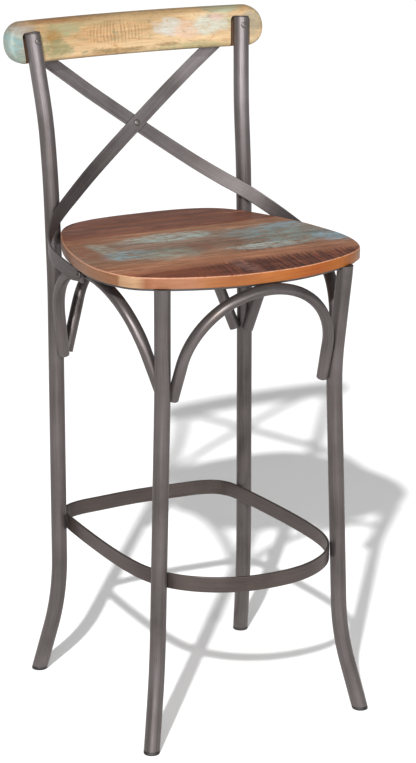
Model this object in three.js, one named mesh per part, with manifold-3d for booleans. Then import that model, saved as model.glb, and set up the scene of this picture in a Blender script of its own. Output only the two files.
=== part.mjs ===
// Bar stool with a footrest ring, a cross-strap back and a plank seat.
// Units are millimetres, +Z is up, the stool faces -Y and +X is to the sitter's left.
import * as THREE from "three";
import { mergeVertices } from "three/addons/utils/BufferGeometryUtils.js";
import Module from "manifold-3d";

const wasm = await Module();
wasm.setup();

// ---- driving dimensions -------------------------------------------------
const GAP = 0.3;

const LEG_R = 12.7;
const LEG_BORE_R = 11.2;
const LEG_LID = 3;
const BRACE_R = 9.5;
const BRACE_BORE_R = 8.1;
const TUBE_SIDES = 16;
const BORE_SIDES = 8;

const SEAT_TOP = 757.5;
const SEAT_THICKNESS = 18;
const SEAT_EASE = 3;
const SEAT_BOTTOM = SEAT_TOP - SEAT_THICKNESS;
const FRAME_THICKNESS = 4;
const FRAME_WIDTH = 30;
const FRAME_INSET = 5;
const FRAME_TOP = SEAT_BOTTOM - GAP;
const FRAME_BOTTOM = FRAME_TOP - FRAME_THICKNESS;
// Bending squeezes the brace tube by this share in the plane of its arch.
const BRACE_FLATTENING = 0.12;
// The top of each brace sinks into a groove in the underside of the seat frame.
const BRACE_SADDLE = 1.5;
const BRACE_HALF_HEIGHT = BRACE_R * (1 - BRACE_FLATTENING);
const BRACE_APEX_Z = FRAME_BOTTOM - GAP - BRACE_HALF_HEIGHT + BRACE_SADDLE;
const FRONT_BRACE_RISE = 1.3;
const BRACE_END_Z = 557;

const RING_THICKNESS = 4;
const RING_HEIGHT = 25;
const RING_BOTTOM = 256;

const GLIDE_HEIGHT = 5;
const PLUG_R = 9.8;
const PLUG_TOP = 20;
const CAP_THICKNESS = 1.5;

const STRAP_WIDTH = 23;
const STRAP_THICKNESS = 3;
const STRAP_STANDOFF = 0.4;
const STRAP_BOLT_LENGTH = 32;

const RAIL_HALF_LENGTH = 229;
const RAIL_THICKNESS = 25;
const RAIL_BOTTOM = 1021;
const RAIL_TOP = 1086;
const RAIL_FRONT_Y = 227.5;
const RAIL_LEVEL = 1025;
const RAIL_LEAN = 0.178;
const RAIL_BEND_R = 1400;
const RAIL_CORNER_R = 31;
const RAIL_EASE = 4;
const NOTCH_WIDTH = 33;
const NOTCH_HEAD = 2.6;
const NOTCH_CORNER_R = 7;

const RIVET_R = 3;
const RIVET_HEAD_R = 5.5;
const RIVET_DOME = 2.6;
const BOLT_R = 3;
const BOLT_HEAD_R = 5.6;
const BOLT_HEAD_HEIGHT = 3.4;
const NUT_R = 5.8;
const NUT_HEIGHT = 5;
const SCREW_R = 2.2;
const SCREW_HEAD_R = 4.6;
const SCREW_HEAD_HEIGHT = 2.6;
const SCREW_CLEARANCE = 0.35;

// ---- centre lines, right-hand side (mirrored for the left) --------------
const FRONT_LEG = [
  [192.2, -198.2, 0],
  [167, -168.4, 128],
  [153.4, -154.2, 574],
  [161.8, -167, FRAME_BOTTOM - GAP],
];
const FRONT_LEG_BENDS = [420, 600];

const REAR_LEG = [
  [194.5, 197.9, 0],
  [175.4, 157.2, 145],
  [175.6, 170, 672],
  [177, 180.5, 832],
  [178.4, 193.5, 930],
  [190.2, 218.5, 1068.7],
];
const REAR_LEG_BENDS = [400, 1500, 1200, 900];

// Arched braces: two straight tails joined over the top by one bend of the given radius.
const FRONT_BRACE = {
  start: [-134.2, -151, BRACE_END_Z],
  end: [134.2, -151, BRACE_END_Z],
  apex: [0, -210.5, BRACE_APEX_Z + FRONT_BRACE_RISE],
  radius: 130,
};
const REAR_BRACE = {
  start: [-157, 165.5, BRACE_END_Z],
  end: [157, 165.5, BRACE_END_Z],
  apex: [0, 197, BRACE_APEX_Z],
  radius: 136,
};
const SIDE_BRACE = {
  start: [150.2, -153.4, BRACE_END_Z],
  end: [171, 149, BRACE_END_Z],
  apex: [200.5, 6, BRACE_APEX_Z],
  radius: 136,
};

// Half outlines in plan, from the front middle round the right side to the rear middle.
const SEAT_OUTLINE = [
  [0, -209.5],
  [62, -205.5],
  [115, -191.5],
  [163, -172],
  [202.5, -143.5],
  [221, -106],
  [228.5, -55],
  [222, 5],
  [210.5, 60],
  [190, 117],
  [161.5, 174],
  [134, 201.5],
  [94, 217],
  [46, 223.5],
  [0, 224.5],
];
const RING_OUTLINE = [
  [0, -236.5],
  [50, -231],
  [92, -214],
  [126, -188],
  [149.6, -155.5],
  [163, -118],
  [169, -68],
  [170, -10],
  [168, 50],
  [165, 105],
  [160.2, 158],
  [155, 179],
  [142, 197],
  [118, 207.5],
  [70, 212.5],
  [0, 216.5],
];

// Seams between the seat boards, and the outer limits, from front to rear.
const BOARD_SEAMS = [-260, -105, -8, 72, 98, 160, 260];

// One back strap, from its bolted end beside the seat to its top end behind the rail.
// The fourth number is the bearing of its outer face in degrees from +X, the fifth its lean.
const BRACE_HALF_WIDTH = BRACE_R * (1 + 0.75 * BRACE_FLATTENING);
const STRAP_START_X =
  SIDE_BRACE.apex[0] + BRACE_HALF_WIDTH + STRAP_STANDOFF + STRAP_THICKNESS / 2;
const STRAP_PATH = [
  [STRAP_START_X, -4, 727, 0, 0],
  [STRAP_START_X, 12, 727, -2, 0],
  [218.2, 23, 727.3, -18, 0],
  [222.8, 40, 733, -12, 0],
  [224, 62, 738, -3, 0],
  [222.4, 88, 744, 10, 0],
  [214.6, 112, 753.5, 28, 0.02],
  [203.4, 130, 764, 44, 0.06],
  [185.6, 149, 779, 56, 0.12],
  [164, 163.6, 794.5, 66, 0.22],
  [136, 179.6, 812, 73, 0.3],
  [93.4, 199.4, 840.5, 83, 0.34],
  [36, 216.8, 881.5, 90, 0.34],
  [-36, 234, 933.5, 91, 0.33],
  [-77.6, 242.3, 963.5, 94, 0.26],
  [-118, 247, 994, 96, 0.19],
  [-150, 249, 1018, 97, 0.178],
  [-176, 249, 1038, 98, 0.178],
];
const STRAP_STATIONS = 46;
const CROSSING_SPREAD = 75;

// ---- small helpers ------------------------------------------------------
const vec = (p) => new THREE.Vector3(p[0], p[1], p[2]);
const mirrored = (p) => [-p[0], p[1], p[2]];

function solid(geometry) {
  const bare = new THREE.BufferGeometry();
  bare.setAttribute("position", geometry.getAttribute("position"));
  if (geometry.index) bare.setIndex(geometry.index);
  const merged = mergeVertices(bare, 1e-4);
  return new wasm.Manifold(
    new wasm.Mesh({
      numProp: 3,
      vertProperties: merged.attributes.position.array,
      triVerts: new Uint32Array(merged.index.array),
    }),
  );
}

function geometryOf(body) {
  const mesh = body.getMesh();
  const points = new Float32Array(mesh.numVert * 3);
  for (let i = 0; i < mesh.numVert; i++) {
    const from = i * mesh.numProp;
    points.set(mesh.vertProperties.subarray(from, from + 3), i * 3);
  }
  const geometry = new THREE.BufferGeometry();
  geometry.setAttribute("position", new THREE.BufferAttribute(points, 3));
  geometry.setIndex(new THREE.BufferAttribute(mesh.triVerts, 1));
  const flat = geometry.toNonIndexed();
  flat.computeVertexNormals();
  return flat;
}

function largest(body) {
  return body.decompose().sort((a, b) => b.volume() - a.volume())[0];
}

// A closed body through a list of equal-length rings of points.
function loft(rings) {
  const count = rings[0].length;
  const points = rings.flat().flatMap((p) => [p.x, p.y, p.z]);
  const faces = [];
  for (let i = 0; i + 1 < rings.length; i++) {
    for (let j = 0; j < count; j++) {
      const a = i * count + j;
      const b = i * count + ((j + 1) % count);
      faces.push(a, b, a + count, b, b + count, a + count);
    }
  }
  const last = (rings.length - 1) * count;
  for (let j = 1; j + 1 < count; j++) {
    faces.push(0, j + 1, j);
    faces.push(last, last + j, last + j + 1);
  }
  const geometry = new THREE.BufferGeometry();
  geometry.setAttribute("position", new THREE.Float32BufferAttribute(points, 3));
  geometry.setIndex(faces);
  return solid(geometry);
}

// Straight runs joined by circular bends.
function bentLine(corners, radii, stepDegrees = 7) {
  const points = [vec(corners[0])];
  for (let i = 1; i + 1 < corners.length; i++) {
    const corner = vec(corners[i]);
    const back = vec(corners[i - 1]).sub(corner).normalize();
    const ahead = vec(corners[i + 1]).sub(corner).normalize();
    const turn = Math.PI - back.angleTo(ahead);
    const reach = radii[i - 1] * Math.tan(turn / 2);
    const toCentre = back.clone().add(ahead).normalize();
    const centre = corner
      .clone()
      .addScaledVector(toCentre, radii[i - 1] / Math.cos(turn / 2));
    const axis = back.clone().cross(ahead).normalize();
    const arm = corner.clone().addScaledVector(back, reach).sub(centre);
    const steps = Math.max(2, Math.ceil(THREE.MathUtils.radToDeg(turn) / stepDegrees));
    for (let k = 0; k <= steps; k++) {
      const spoke = arm.clone().applyAxisAngle(axis, (-turn * k) / steps);
      points.push(centre.clone().add(spoke));
    }
  }
  points.push(vec(corners[corners.length - 1]));
  return points;
}

// A round bar along a list of points, its ends moved out by "extend".
// A "flattening" above zero squeezes the bent part of a flat arch in its own plane.
function roundBar(path, radius, sides, extend = 0, flattening = 0) {
  const points = path.map((p) => p.clone());
  const first = points[0].clone().sub(points[1]).normalize();
  const final = points.at(-1).clone().sub(points.at(-2)).normalize();
  points[0].addScaledVector(first, extend);
  points[points.length - 1].addScaledVector(final, extend);
  const sideways = Math.abs(first.x) > 0.9;
  let side = sideways ? new THREE.Vector3(0, 0, 1) : new THREE.Vector3(1, 0, 0);
  if (flattening > 0) side = first.clone().cross(final).normalize();
  const rings = points.map((p, i) => {
    const before = points[Math.max(i - 1, 0)];
    const after = points[Math.min(i + 1, points.length - 1)];
    const along = after.clone().sub(before).normalize();
    side = side.clone().addScaledVector(along, -side.dot(along)).normalize();
    const up = along.clone().cross(side);
    const toEnd = Math.min(i, points.length - 1 - i);
    const squeeze = flattening * Math.min(toEnd / 2, 1);
    const wide = radius * (1 + 0.75 * squeeze);
    const high = radius * (1 - squeeze);
    return Array.from({ length: sides }, (_, k) => {
      const angle = ((k + 0.5) * 2 * Math.PI) / sides;
      return p
        .clone()
        .addScaledVector(side, wide * Math.cos(angle))
        .addScaledVector(up, high * Math.sin(angle));
    });
  });
  return loft(rings);
}

function slab(bottom, top) {
  const size = 1000;
  const box = new THREE.BoxGeometry(size, size, top - bottom);
  box.translate(0, 0, (top + bottom) / 2);
  return solid(box);
}

// A round bar between two points, for holes and shanks.
function pin(from, to, radius, sides = 12) {
  return roundBar([from, to], radius, sides);
}

// A turned piece whose profile is [radius, height along the axis] pairs.
function turned(profile, origin, axis, sides = 12) {
  const lathe = new THREE.LatheGeometry(
    profile.map(([r, h]) => new THREE.Vector2(r, h)),
    sides,
  );
  const spin = new THREE.Quaternion();
  spin.setFromUnitVectors(new THREE.Vector3(0, 1, 0), axis.clone().normalize());
  lathe.applyQuaternion(spin);
  lathe.translate(origin.x, origin.y, origin.z);
  return solid(lathe);
}

// A screw or bolt: its seat is at "origin" and its head stands out along "axis".
function panScrew(origin, axis, length, radius, headR, headHeight) {
  const profile = [
    [0, -length],
    [radius, -length],
    [radius, 0.05],
    [headR, 0.05],
    [headR, headHeight * 0.5],
    [headR * 0.75, headHeight * 0.9],
    [0, headHeight],
  ];
  return turned(profile, origin, axis);
}

function closedOutline(half, count) {
  const right = half.map(([x, y]) => new THREE.Vector3(x, y, 0));
  const left = half
    .slice(1, -1)
    .reverse()
    .map(([x, y]) => new THREE.Vector3(-x, y, 0));
  const curve = new THREE.CatmullRomCurve3([...right, ...left], true, "centripetal");
  return curve.getSpacedPoints(count).slice(0, -1);
}

// The outline moved outwards by "distance" (inwards when negative).
function offsetOutline(points, distance) {
  return points.map((p, i) => {
    const before = points[(i + points.length - 1) % points.length];
    const after = points[(i + 1) % points.length];
    const along = after.clone().sub(before).normalize();
    return new THREE.Vector2(p.x + along.y * distance, p.y - along.x * distance);
  });
}

function flatRing(outer, inner, bottom, height) {
  const shape = new THREE.Shape(outer);
  shape.holes.push(new THREE.Path(inner));
  const ring = new THREE.ExtrudeGeometry(shape, { depth: height, bevelEnabled: false });
  ring.translate(0, 0, bottom);
  return solid(ring);
}

// ---- materials ----------------------------------------------------------
const steel = new THREE.MeshStandardMaterial({
  color: 0x6f6765,
  roughness: 0.38,
  metalness: 0.9,
});
const zinc = new THREE.MeshStandardMaterial({
  color: 0x8d8a86,
  roughness: 0.35,
  metalness: 0.95,
});
const plastic = new THREE.MeshStandardMaterial({
  color: 0x1d1c1c,
  roughness: 0.6,
  metalness: 0,
});
const wood = (color) =>
  new THREE.MeshStandardMaterial({ color, roughness: 0.55, metalness: 0 });
const boardWood = [0x6b4030, 0x87745f, 0x807468, 0xa0745a, 0x7a5241, 0x6f5547].map(wood);
const railWood = wood(0xc9ad84);

// ---- assembly -----------------------------------------------------------
const stool = new THREE.Group();

function add(name, body, material) {
  const mesh = new THREE.Mesh(geometryOf(body), material.clone());
  mesh.name = name;
  stool.add(mesh);
}

const sides = [
  { name: "right", side: (p) => p },
  { name: "left", side: mirrored },
];

// Legs: bent tubes, open at the foot; a lid closes the top of each front leg.
const legBars = [];
const railScrewSeats = {};

// The outward normal of the rail's front face where it meets a post.
function railNormalAt(x) {
  const turn = x / RAIL_BEND_R;
  return new THREE.Vector3(-Math.sin(turn), -Math.cos(turn), RAIL_LEAN).normalize();
}

for (const { name, side } of sides) {
  for (const [row, corners, bends] of [
    ["front", FRONT_LEG, FRONT_LEG_BENDS],
    ["rear", REAR_LEG, REAR_LEG_BENDS],
  ]) {
    const path = bentLine(corners.map(side), bends);
    const grown = roundBar(path, LEG_R + GAP, TUBE_SIDES, 1);
    legBars.push(grown);
    const topZ = row === "front" ? FRAME_BOTTOM - GAP : path.at(-1).z + LEG_R;
    const boreTop = row === "front" ? topZ - LEG_LID : topZ;
    const bore = roundBar(path, LEG_BORE_R, BORE_SIDES, 5).intersect(slab(0, boreTop));
    let leg = roundBar(path, LEG_R, TUBE_SIDES)
      .subtract(bore)
      .intersect(slab(GLIDE_HEIGHT + GAP, topZ));
    const sole = roundBar(path, LEG_R, TUBE_SIDES, 20).intersect(slab(0, GLIDE_HEIGHT));
    const stem = roundBar(path, PLUG_R, BORE_SIDES).intersect(slab(GLIDE_HEIGHT - 1, PLUG_TOP));
    add(`foot_glide_${row}_${name}`, sole.add(stem), plastic);
    if (row === "rear") {
      // The screw that holds the rail goes through the post near its top.
      const top = path.at(-1);
      const run = top.clone().sub(path.at(-2)).normalize();
      const railNormal = railNormalAt(top.x);
      const seat = top.clone().addScaledVector(run, -13);
      seat.addScaledVector(railNormal, LEG_R);
      railScrewSeats[name] = seat;
      const hole = pin(
        seat.clone().addScaledVector(railNormal, 5),
        seat.clone().addScaledVector(railNormal, -2 * LEG_R - 5),
        SCREW_R + SCREW_CLEARANCE,
      );
      leg = leg.subtract(hole);
      const capTop = top.clone().addScaledVector(run, GAP + CAP_THICKNESS);
      const cap = pin(top.clone().addScaledVector(run, GAP), capTop, LEG_R, TUBE_SIDES);
      const tongue = pin(
        top.clone().addScaledVector(run, -6),
        top.clone().addScaledVector(run, GAP + CAP_THICKNESS / 2),
        PLUG_R,
        BORE_SIDES,
      );
      add(`post_cap_${name}`, cap.add(tongue), steel);
    }
    add(`${row}_leg_${name}`, leg, steel);
  }
}

// Braces: an arc about a centre below the apex, run out along its tangents to the tail ends.
function bracePath({ start, end, apex, radius }, side = (p) => p) {
  const foot = vec(side(start));
  const middle = foot.clone().add(vec(side(end))).multiplyScalar(0.5);
  const top = vec(side(apex));
  const up = top.clone().sub(middle).normalize();
  const across = foot.clone().sub(middle);
  const halfSpan = across.length();
  across.normalize();
  const centre = top.clone().addScaledVector(up, -radius);
  const below = top.distanceTo(middle) - radius;
  const reach = Math.hypot(halfSpan, below);
  const tangent = Math.acos(radius / reach) - Math.atan2(below, halfSpan);
  const steps = 11;
  const arc = Array.from({ length: steps + 1 }, (_, i) => {
    const angle = THREE.MathUtils.lerp(tangent, Math.PI - tangent, i / steps);
    return centre
      .clone()
      .addScaledVector(across, radius * Math.cos(angle))
      .addScaledVector(up, radius * Math.sin(angle));
  });
  return [foot, ...arc, vec(side(end))];
}

const braceBars = [];
const braces = [
  ["brace_front", bracePath(FRONT_BRACE)],
  ["brace_rear", bracePath(REAR_BRACE)],
  ["brace_right", bracePath(SIDE_BRACE)],
  ["brace_left", bracePath(SIDE_BRACE, mirrored)],
];

// A point on the axis of the bolt that joins a strap to its side brace.
function strapBoltPoint(x) {
  return new THREE.Vector3(x, SIDE_BRACE.apex[1], BRACE_APEX_Z);
}

function strapBoltHole(flip) {
  const inner = SIDE_BRACE.apex[0] - 2 * BRACE_R;
  const outer = SIDE_BRACE.apex[0] + 2 * BRACE_R;
  return pin(
    strapBoltPoint(flip * inner),
    strapBoltPoint(flip * outer),
    BOLT_R + SCREW_CLEARANCE,
  );
}

for (const [name, path] of braces) {
  let brace = roundBar(path, BRACE_R, TUBE_SIDES, 0, BRACE_FLATTENING).subtract(
    roundBar(path, BRACE_BORE_R, BORE_SIDES, 5, BRACE_FLATTENING),
  );
  for (const block of [...legBars, ...braceBars]) brace = brace.subtract(block);
  if (name === "brace_right" || name === "brace_left") {
    const flip = name === "brace_right" ? 1 : -1;
    brace = brace.subtract(strapBoltHole(flip));
  }
  braceBars.push(roundBar(path, BRACE_R + GAP, TUBE_SIDES, 1, BRACE_FLATTENING));
  add(name, largest(brace), steel);
}

// Footrest: a flat bar on edge, bent to a closed ring inside the four legs.
const ringLine = closedOutline(RING_OUTLINE, 56);
add(
  "footrest_ring",
  flatRing(
    offsetOutline(ringLine, RING_THICKNESS / 2),
    offsetOutline(ringLine, -RING_THICKNESS / 2),
    RING_BOTTOM,
    RING_HEIGHT,
  ),
  steel,
);

// Seat frame: a flat ring under the boards, with six screw holes.
const seatLine = closedOutline(SEAT_OUTLINE, 52);
const seatScrewSpots = [
  [92, -174],
  [203, -62],
  [84, 196],
];
let seatFrame = flatRing(
  offsetOutline(seatLine, -FRAME_INSET),
  offsetOutline(seatLine, -FRAME_INSET - FRAME_WIDTH),
  FRAME_BOTTOM,
  FRAME_THICKNESS,
);
for (const block of braceBars) seatFrame = seatFrame.subtract(block);

// Seat boards: one eased slab cut along the seams.
const seatShape = new THREE.Shape(offsetOutline(seatLine, -SEAT_EASE));
const seatBlock = new THREE.ExtrudeGeometry(seatShape, {
  depth: SEAT_THICKNESS - 2 * SEAT_EASE,
  bevelThickness: SEAT_EASE,
  bevelSize: SEAT_EASE,
  bevelSegments: 2,
});
seatBlock.translate(0, 0, SEAT_BOTTOM + SEAT_EASE);
let seatSolid = solid(seatBlock);

const SEAT_SCREW_LENGTH = 16;
let screwNumber = 0;
for (const [x, y] of seatScrewSpots) {
  for (const { name, side } of sides) {
    const seat = vec(side([x, y, FRAME_BOTTOM]));
    const down = new THREE.Vector3(0, 0, -1);
    const hole = pin(
      seat.clone().setZ(FRAME_BOTTOM - 2),
      seat.clone().setZ(FRAME_BOTTOM + SEAT_SCREW_LENGTH + 0.5),
      SCREW_R + SCREW_CLEARANCE,
    );
    seatFrame = seatFrame.subtract(hole);
    seatSolid = seatSolid.subtract(hole);
    const row = ["front", "middle", "rear"][Math.floor(screwNumber / 2)];
    add(
      `seat_screw_${row}_${name}`,
      panScrew(
        seat.clone().setZ(FRAME_BOTTOM - GAP),
        down,
        SEAT_SCREW_LENGTH,
        SCREW_R,
        SCREW_HEAD_R,
        SCREW_HEAD_HEIGHT,
      ),
      zinc,
    );
    screwNumber += 1;
  }
}

for (let i = 0; i + 1 < BOARD_SEAMS.length; i++) {
  const from = BOARD_SEAMS[i] + GAP / 2;
  const to = BOARD_SEAMS[i + 1] - GAP / 2;
  const strip = new THREE.BoxGeometry(600, to - from, 100);
  strip.translate(0, (from + to) / 2, SEAT_TOP);
  add(`seat_board_${i + 1}`, seatSolid.intersect(solid(strip)), boardWood[i]);
}

// Back straps: flat bars that sweep round the seat corners and cross on the back.
const strapCurve = new THREE.CatmullRomCurve3(STRAP_PATH.map(vec), false, "centripetal");

function strapFrame(u) {
  const centre = strapCurve.getPointAt(u);
  const along = strapCurve.getTangentAt(u);
  // Bearing and lean are read off the knots by the curve's own parameter.
  const place = strapCurve.getUtoTmapping(u) * (STRAP_PATH.length - 1);
  const knot = Math.min(Math.floor(place), STRAP_PATH.length - 2);
  const between = (column) =>
    THREE.MathUtils.lerp(
      STRAP_PATH[knot][column],
      STRAP_PATH[knot + 1][column],
      place - knot,
    );
  const bearing = THREE.MathUtils.degToRad(between(3));
  const outward = new THREE.Vector3(Math.cos(bearing), Math.sin(bearing), -between(4));
  const across = outward.clone().cross(along).normalize();
  const face = along.clone().cross(across).normalize();
  return { centre, across, face };
}

// "lift" moves the crossing zone so that one strap lies over the other.
function strap(mirror, lift, grow = 0) {
  const rings = [];
  for (let i = 0; i <= STRAP_STATIONS; i++) {
    const { centre, across, face } = strapFrame(i / STRAP_STATIONS);
    const rise = lift * Math.exp(-((centre.x / CROSSING_SPREAD) ** 2));
    const middle = centre.clone().addScaledVector(face, rise);
    const half = STRAP_THICKNESS / 2 + grow;
    const wide = STRAP_WIDTH / 2 + grow;
    const ring = [
      [-wide, -half],
      [wide, -half],
      [wide, half],
      [-wide, half],
    ].map(([w, t]) => {
      const corner = middle.clone().addScaledVector(across, w).addScaledVector(face, t);
      if (mirror) corner.x = -corner.x;
      return corner;
    });
    rings.push(mirror ? ring.reverse() : ring);
  }
  const body = loft(rings);
  return body.volume() < 0 ? loft(rings.map((ring) => [...ring].reverse())) : body;
}

// Crossing point, where the centre line meets the middle plane.
let low = 0;
let high = 1;
for (let i = 0; i < 40; i++) {
  const middle = (low + high) / 2;
  if (strapCurve.getPointAt(middle).x > 0) low = middle;
  else high = middle;
}
const crossing = strapFrame(low);
const crossAxis = crossing.face.clone().setX(0).normalize();
if (crossAxis.y > 0) crossAxis.negate();
const crossHole = pin(
  crossing.centre.clone().addScaledVector(crossAxis, 12),
  crossing.centre.clone().addScaledVector(crossAxis, -12),
  RIVET_R + SCREW_CLEARANCE,
);

const strapLift = (STRAP_THICKNESS + GAP) / 2 + 0.1;
const rearOfFace = crossing.face.y > 0 ? 1 : -1;
const topEnd = strapFrame(0.965);
const topAxis = topEnd.face.y > 0 ? topEnd.face : topEnd.face.clone().negate();
const topSeat = topEnd.centre.clone().addScaledVector(topAxis, STRAP_THICKNESS / 2);
const STRAP_SCREW_LENGTH = 20;

// Top rail: a curved, leaning board with rounded ends and eased edges.
function railPoint(x, depth, z) {
  const angle = x / RAIL_BEND_R;
  const reach = RAIL_BEND_R + depth;
  return new THREE.Vector3(
    reach * Math.sin(angle),
    RAIL_FRONT_Y - RAIL_BEND_R + reach * Math.cos(angle) + RAIL_LEAN * (z - RAIL_LEVEL),
    z,
  );
}

function railSection(x) {
  const past = Math.abs(x) - (RAIL_HALF_LENGTH - RAIL_CORNER_R);
  const drop =
    past > 0 ? RAIL_CORNER_R - Math.sqrt(Math.max(RAIL_CORNER_R ** 2 - past ** 2, 0)) : 0;
  const bottom = RAIL_BOTTOM + drop;
  const top = RAIL_TOP - drop;
  const ring = [];
  const corner = (depth, z, outDepth, outZ) => {
    for (let k = 0; k <= 2; k++) {
      const angle = (Math.PI / 4) * k;
      const d = Math.sin(angle) * outDepth.first + Math.cos(angle) * outDepth.second;
      const h = Math.sin(angle) * outZ.first + Math.cos(angle) * outZ.second;
      ring.push(railPoint(x, depth + d * RAIL_EASE, z + h * RAIL_EASE));
    }
  };
  const near = RAIL_EASE;
  const far = RAIL_THICKNESS - RAIL_EASE;
  corner(near, bottom + near, { first: -1, second: 0 }, { first: 0, second: -1 });
  corner(near, top - near, { first: 0, second: -1 }, { first: 1, second: 0 });
  corner(far, top - near, { first: 1, second: 0 }, { first: 0, second: 1 });
  corner(far, bottom + near, { first: 0, second: 1 }, { first: -1, second: 0 });
  return ring;
}

const railStations = [];
const straight = RAIL_HALF_LENGTH - RAIL_CORNER_R;
for (let k = 0; k <= 5; k++) {
  const angle = (Math.PI / 2) * (1 - k / 5) * 0.93;
  railStations.push(-straight - RAIL_CORNER_R * Math.sin(angle));
}
for (let k = 1; k < 12; k++) railStations.push(-straight + (2 * straight * k) / 12);
for (let k = 0; k <= 5; k++) railStations.push(-railStations[5 - k]);

const railRings = railStations.map(railSection);
let rail = loft(railRings);
if (rail.volume() < 0) rail = loft(railRings.map((ring) => [...ring].reverse()));

for (const { name, side } of sides) {
  // Notch, open at the bottom, that takes the top of the post.
  const path = bentLine(REAR_LEG.map(side), REAR_LEG_BENDS);
  const top = path.at(-1);
  const run = top.clone().sub(path.at(-2)).normalize();
  const railNormal = railNormalAt(top.x);
  const half = NOTCH_WIDTH / 2;
  const mouth = new THREE.Shape();
  mouth.moveTo(-half, -80);
  mouth.lineTo(half, -80);
  mouth.lineTo(half, NOTCH_HEAD - NOTCH_CORNER_R);
  mouth.absarc(half - NOTCH_CORNER_R, NOTCH_HEAD - NOTCH_CORNER_R, NOTCH_CORNER_R, 0, Math.PI / 2);
  mouth.absarc(
    NOTCH_CORNER_R - half,
    NOTCH_HEAD - NOTCH_CORNER_R,
    NOTCH_CORNER_R,
    Math.PI / 2,
    Math.PI,
  );
  const cutter = new THREE.ExtrudeGeometry(mouth, {
    depth: 60,
    bevelEnabled: false,
    curveSegments: 4,
  });
  // Local x across, y along the post, z towards the sitter.
  const yAxis = run.clone();
  const zAxis = railNormal.clone().addScaledVector(yAxis, -railNormal.dot(yAxis)).normalize();
  const xAxis = yAxis.clone().cross(zAxis);
  const turn = new THREE.Matrix4().makeBasis(xAxis, yAxis, zAxis);
  const floor = top.clone().addScaledVector(zAxis, -LEG_R - GAP);
  turn.setPosition(floor);
  cutter.applyMatrix4(turn);
  rail = rail.subtract(solid(cutter));
  const seat = railScrewSeats[name].clone().addScaledVector(railNormal, GAP);
  const length = 2 * LEG_R + 12;
  const pilot = pin(
    seat.clone(),
    seat.clone().addScaledVector(railNormal, -length - 0.8),
    SCREW_R + SCREW_CLEARANCE,
  );
  rail = rail.subtract(pilot);
  add(
    `rail_screw_${name}`,
    panScrew(seat, railNormal, length, SCREW_R, SCREW_HEAD_R, SCREW_HEAD_HEIGHT),
    zinc,
  );
}

for (const [name, mirror] of [
  ["right", false],
  ["left", true],
]) {
  const flip = mirror ? -1 : 1;
  const lift = (mirror ? -1 : 1) * rearOfFace * strapLift;
  const seat = topSeat.clone();
  const axis = topAxis.clone();
  if (mirror) {
    seat.x = -seat.x;
    axis.x = -axis.x;
  }
  const topHole = pin(
    seat.clone().addScaledVector(axis, 3),
    seat.clone().addScaledVector(axis, -STRAP_SCREW_LENGTH - 1.2),
    SCREW_R + SCREW_CLEARANCE,
  );
  rail = rail.subtract(topHole);
  const bar = strap(mirror, lift)
    .subtract(strapBoltHole(flip))
    .subtract(crossHole)
    .subtract(topHole);
  seatFrame = seatFrame.subtract(strap(mirror, lift, GAP));
  add(`back_strap_${name}`, bar, steel);
  add(
    `strap_screw_${name}`,
    panScrew(
      seat.clone().addScaledVector(axis, GAP),
      axis,
      STRAP_SCREW_LENGTH,
      SCREW_R,
      SCREW_HEAD_R,
      SCREW_HEAD_HEIGHT,
    ),
    zinc,
  );

  // Through bolt at the seat: strap, then both walls of the side brace, then a nut.
  const boltSeatX = STRAP_START_X + STRAP_THICKNESS / 2 + STRAP_STANDOFF;
  add(
    `strap_bolt_${name}`,
    panScrew(
      strapBoltPoint(flip * boltSeatX),
      new THREE.Vector3(flip, 0, 0),
      STRAP_BOLT_LENGTH,
      BOLT_R,
      BOLT_HEAD_R,
      BOLT_HEAD_HEIGHT,
    ),
    zinc,
  );
  const nutFace = SIDE_BRACE.apex[0] - BRACE_HALF_WIDTH - 2 * STRAP_STANDOFF;
  const nutEnd = nutFace - NUT_HEIGHT;
  const nut = pin(strapBoltPoint(flip * nutFace), strapBoltPoint(flip * nutEnd), NUT_R, 6);
  const thread = pin(
    strapBoltPoint(flip * (nutFace + 2)),
    strapBoltPoint(flip * (nutEnd - 2)),
    BOLT_R + GAP / 2,
  );
  add(`strap_nut_${name}`, nut.subtract(thread), zinc);
}
add("top_rail", rail, railWood);
add("seat_frame", seatFrame, steel);

// Rivet through both straps, domed on both faces.
const rivetHalf = STRAP_THICKNESS + 2 * GAP;
add(
  "cross_rivet",
  turned(
    [
      [0, -rivetHalf - RIVET_DOME],
      [RIVET_HEAD_R * 0.6, -rivetHalf - RIVET_DOME * 0.8],
      [RIVET_HEAD_R, -rivetHalf],
      [RIVET_R, -rivetHalf],
      [RIVET_R, rivetHalf],
      [RIVET_HEAD_R, rivetHalf],
      [RIVET_HEAD_R * 0.6, rivetHalf + RIVET_DOME * 0.8],
      [0, rivetHalf + RIVET_DOME],
    ],
    crossing.centre,
    crossAxis,
    14,
  ),
  zinc,
);

// The part's frame: middle of the footprint, on the floor.
const root = new THREE.Group();
const bounds = new THREE.Box3().setFromObject(stool, true);
const centre = bounds.getCenter(new THREE.Vector3());
stool.position.set(-centre.x, -centre.y, -bounds.min.z);
root.add(stool);

export default root;
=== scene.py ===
import math
import bpy
import bmesh
import numpy as np
from mathutils import Matrix, Vector


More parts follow.
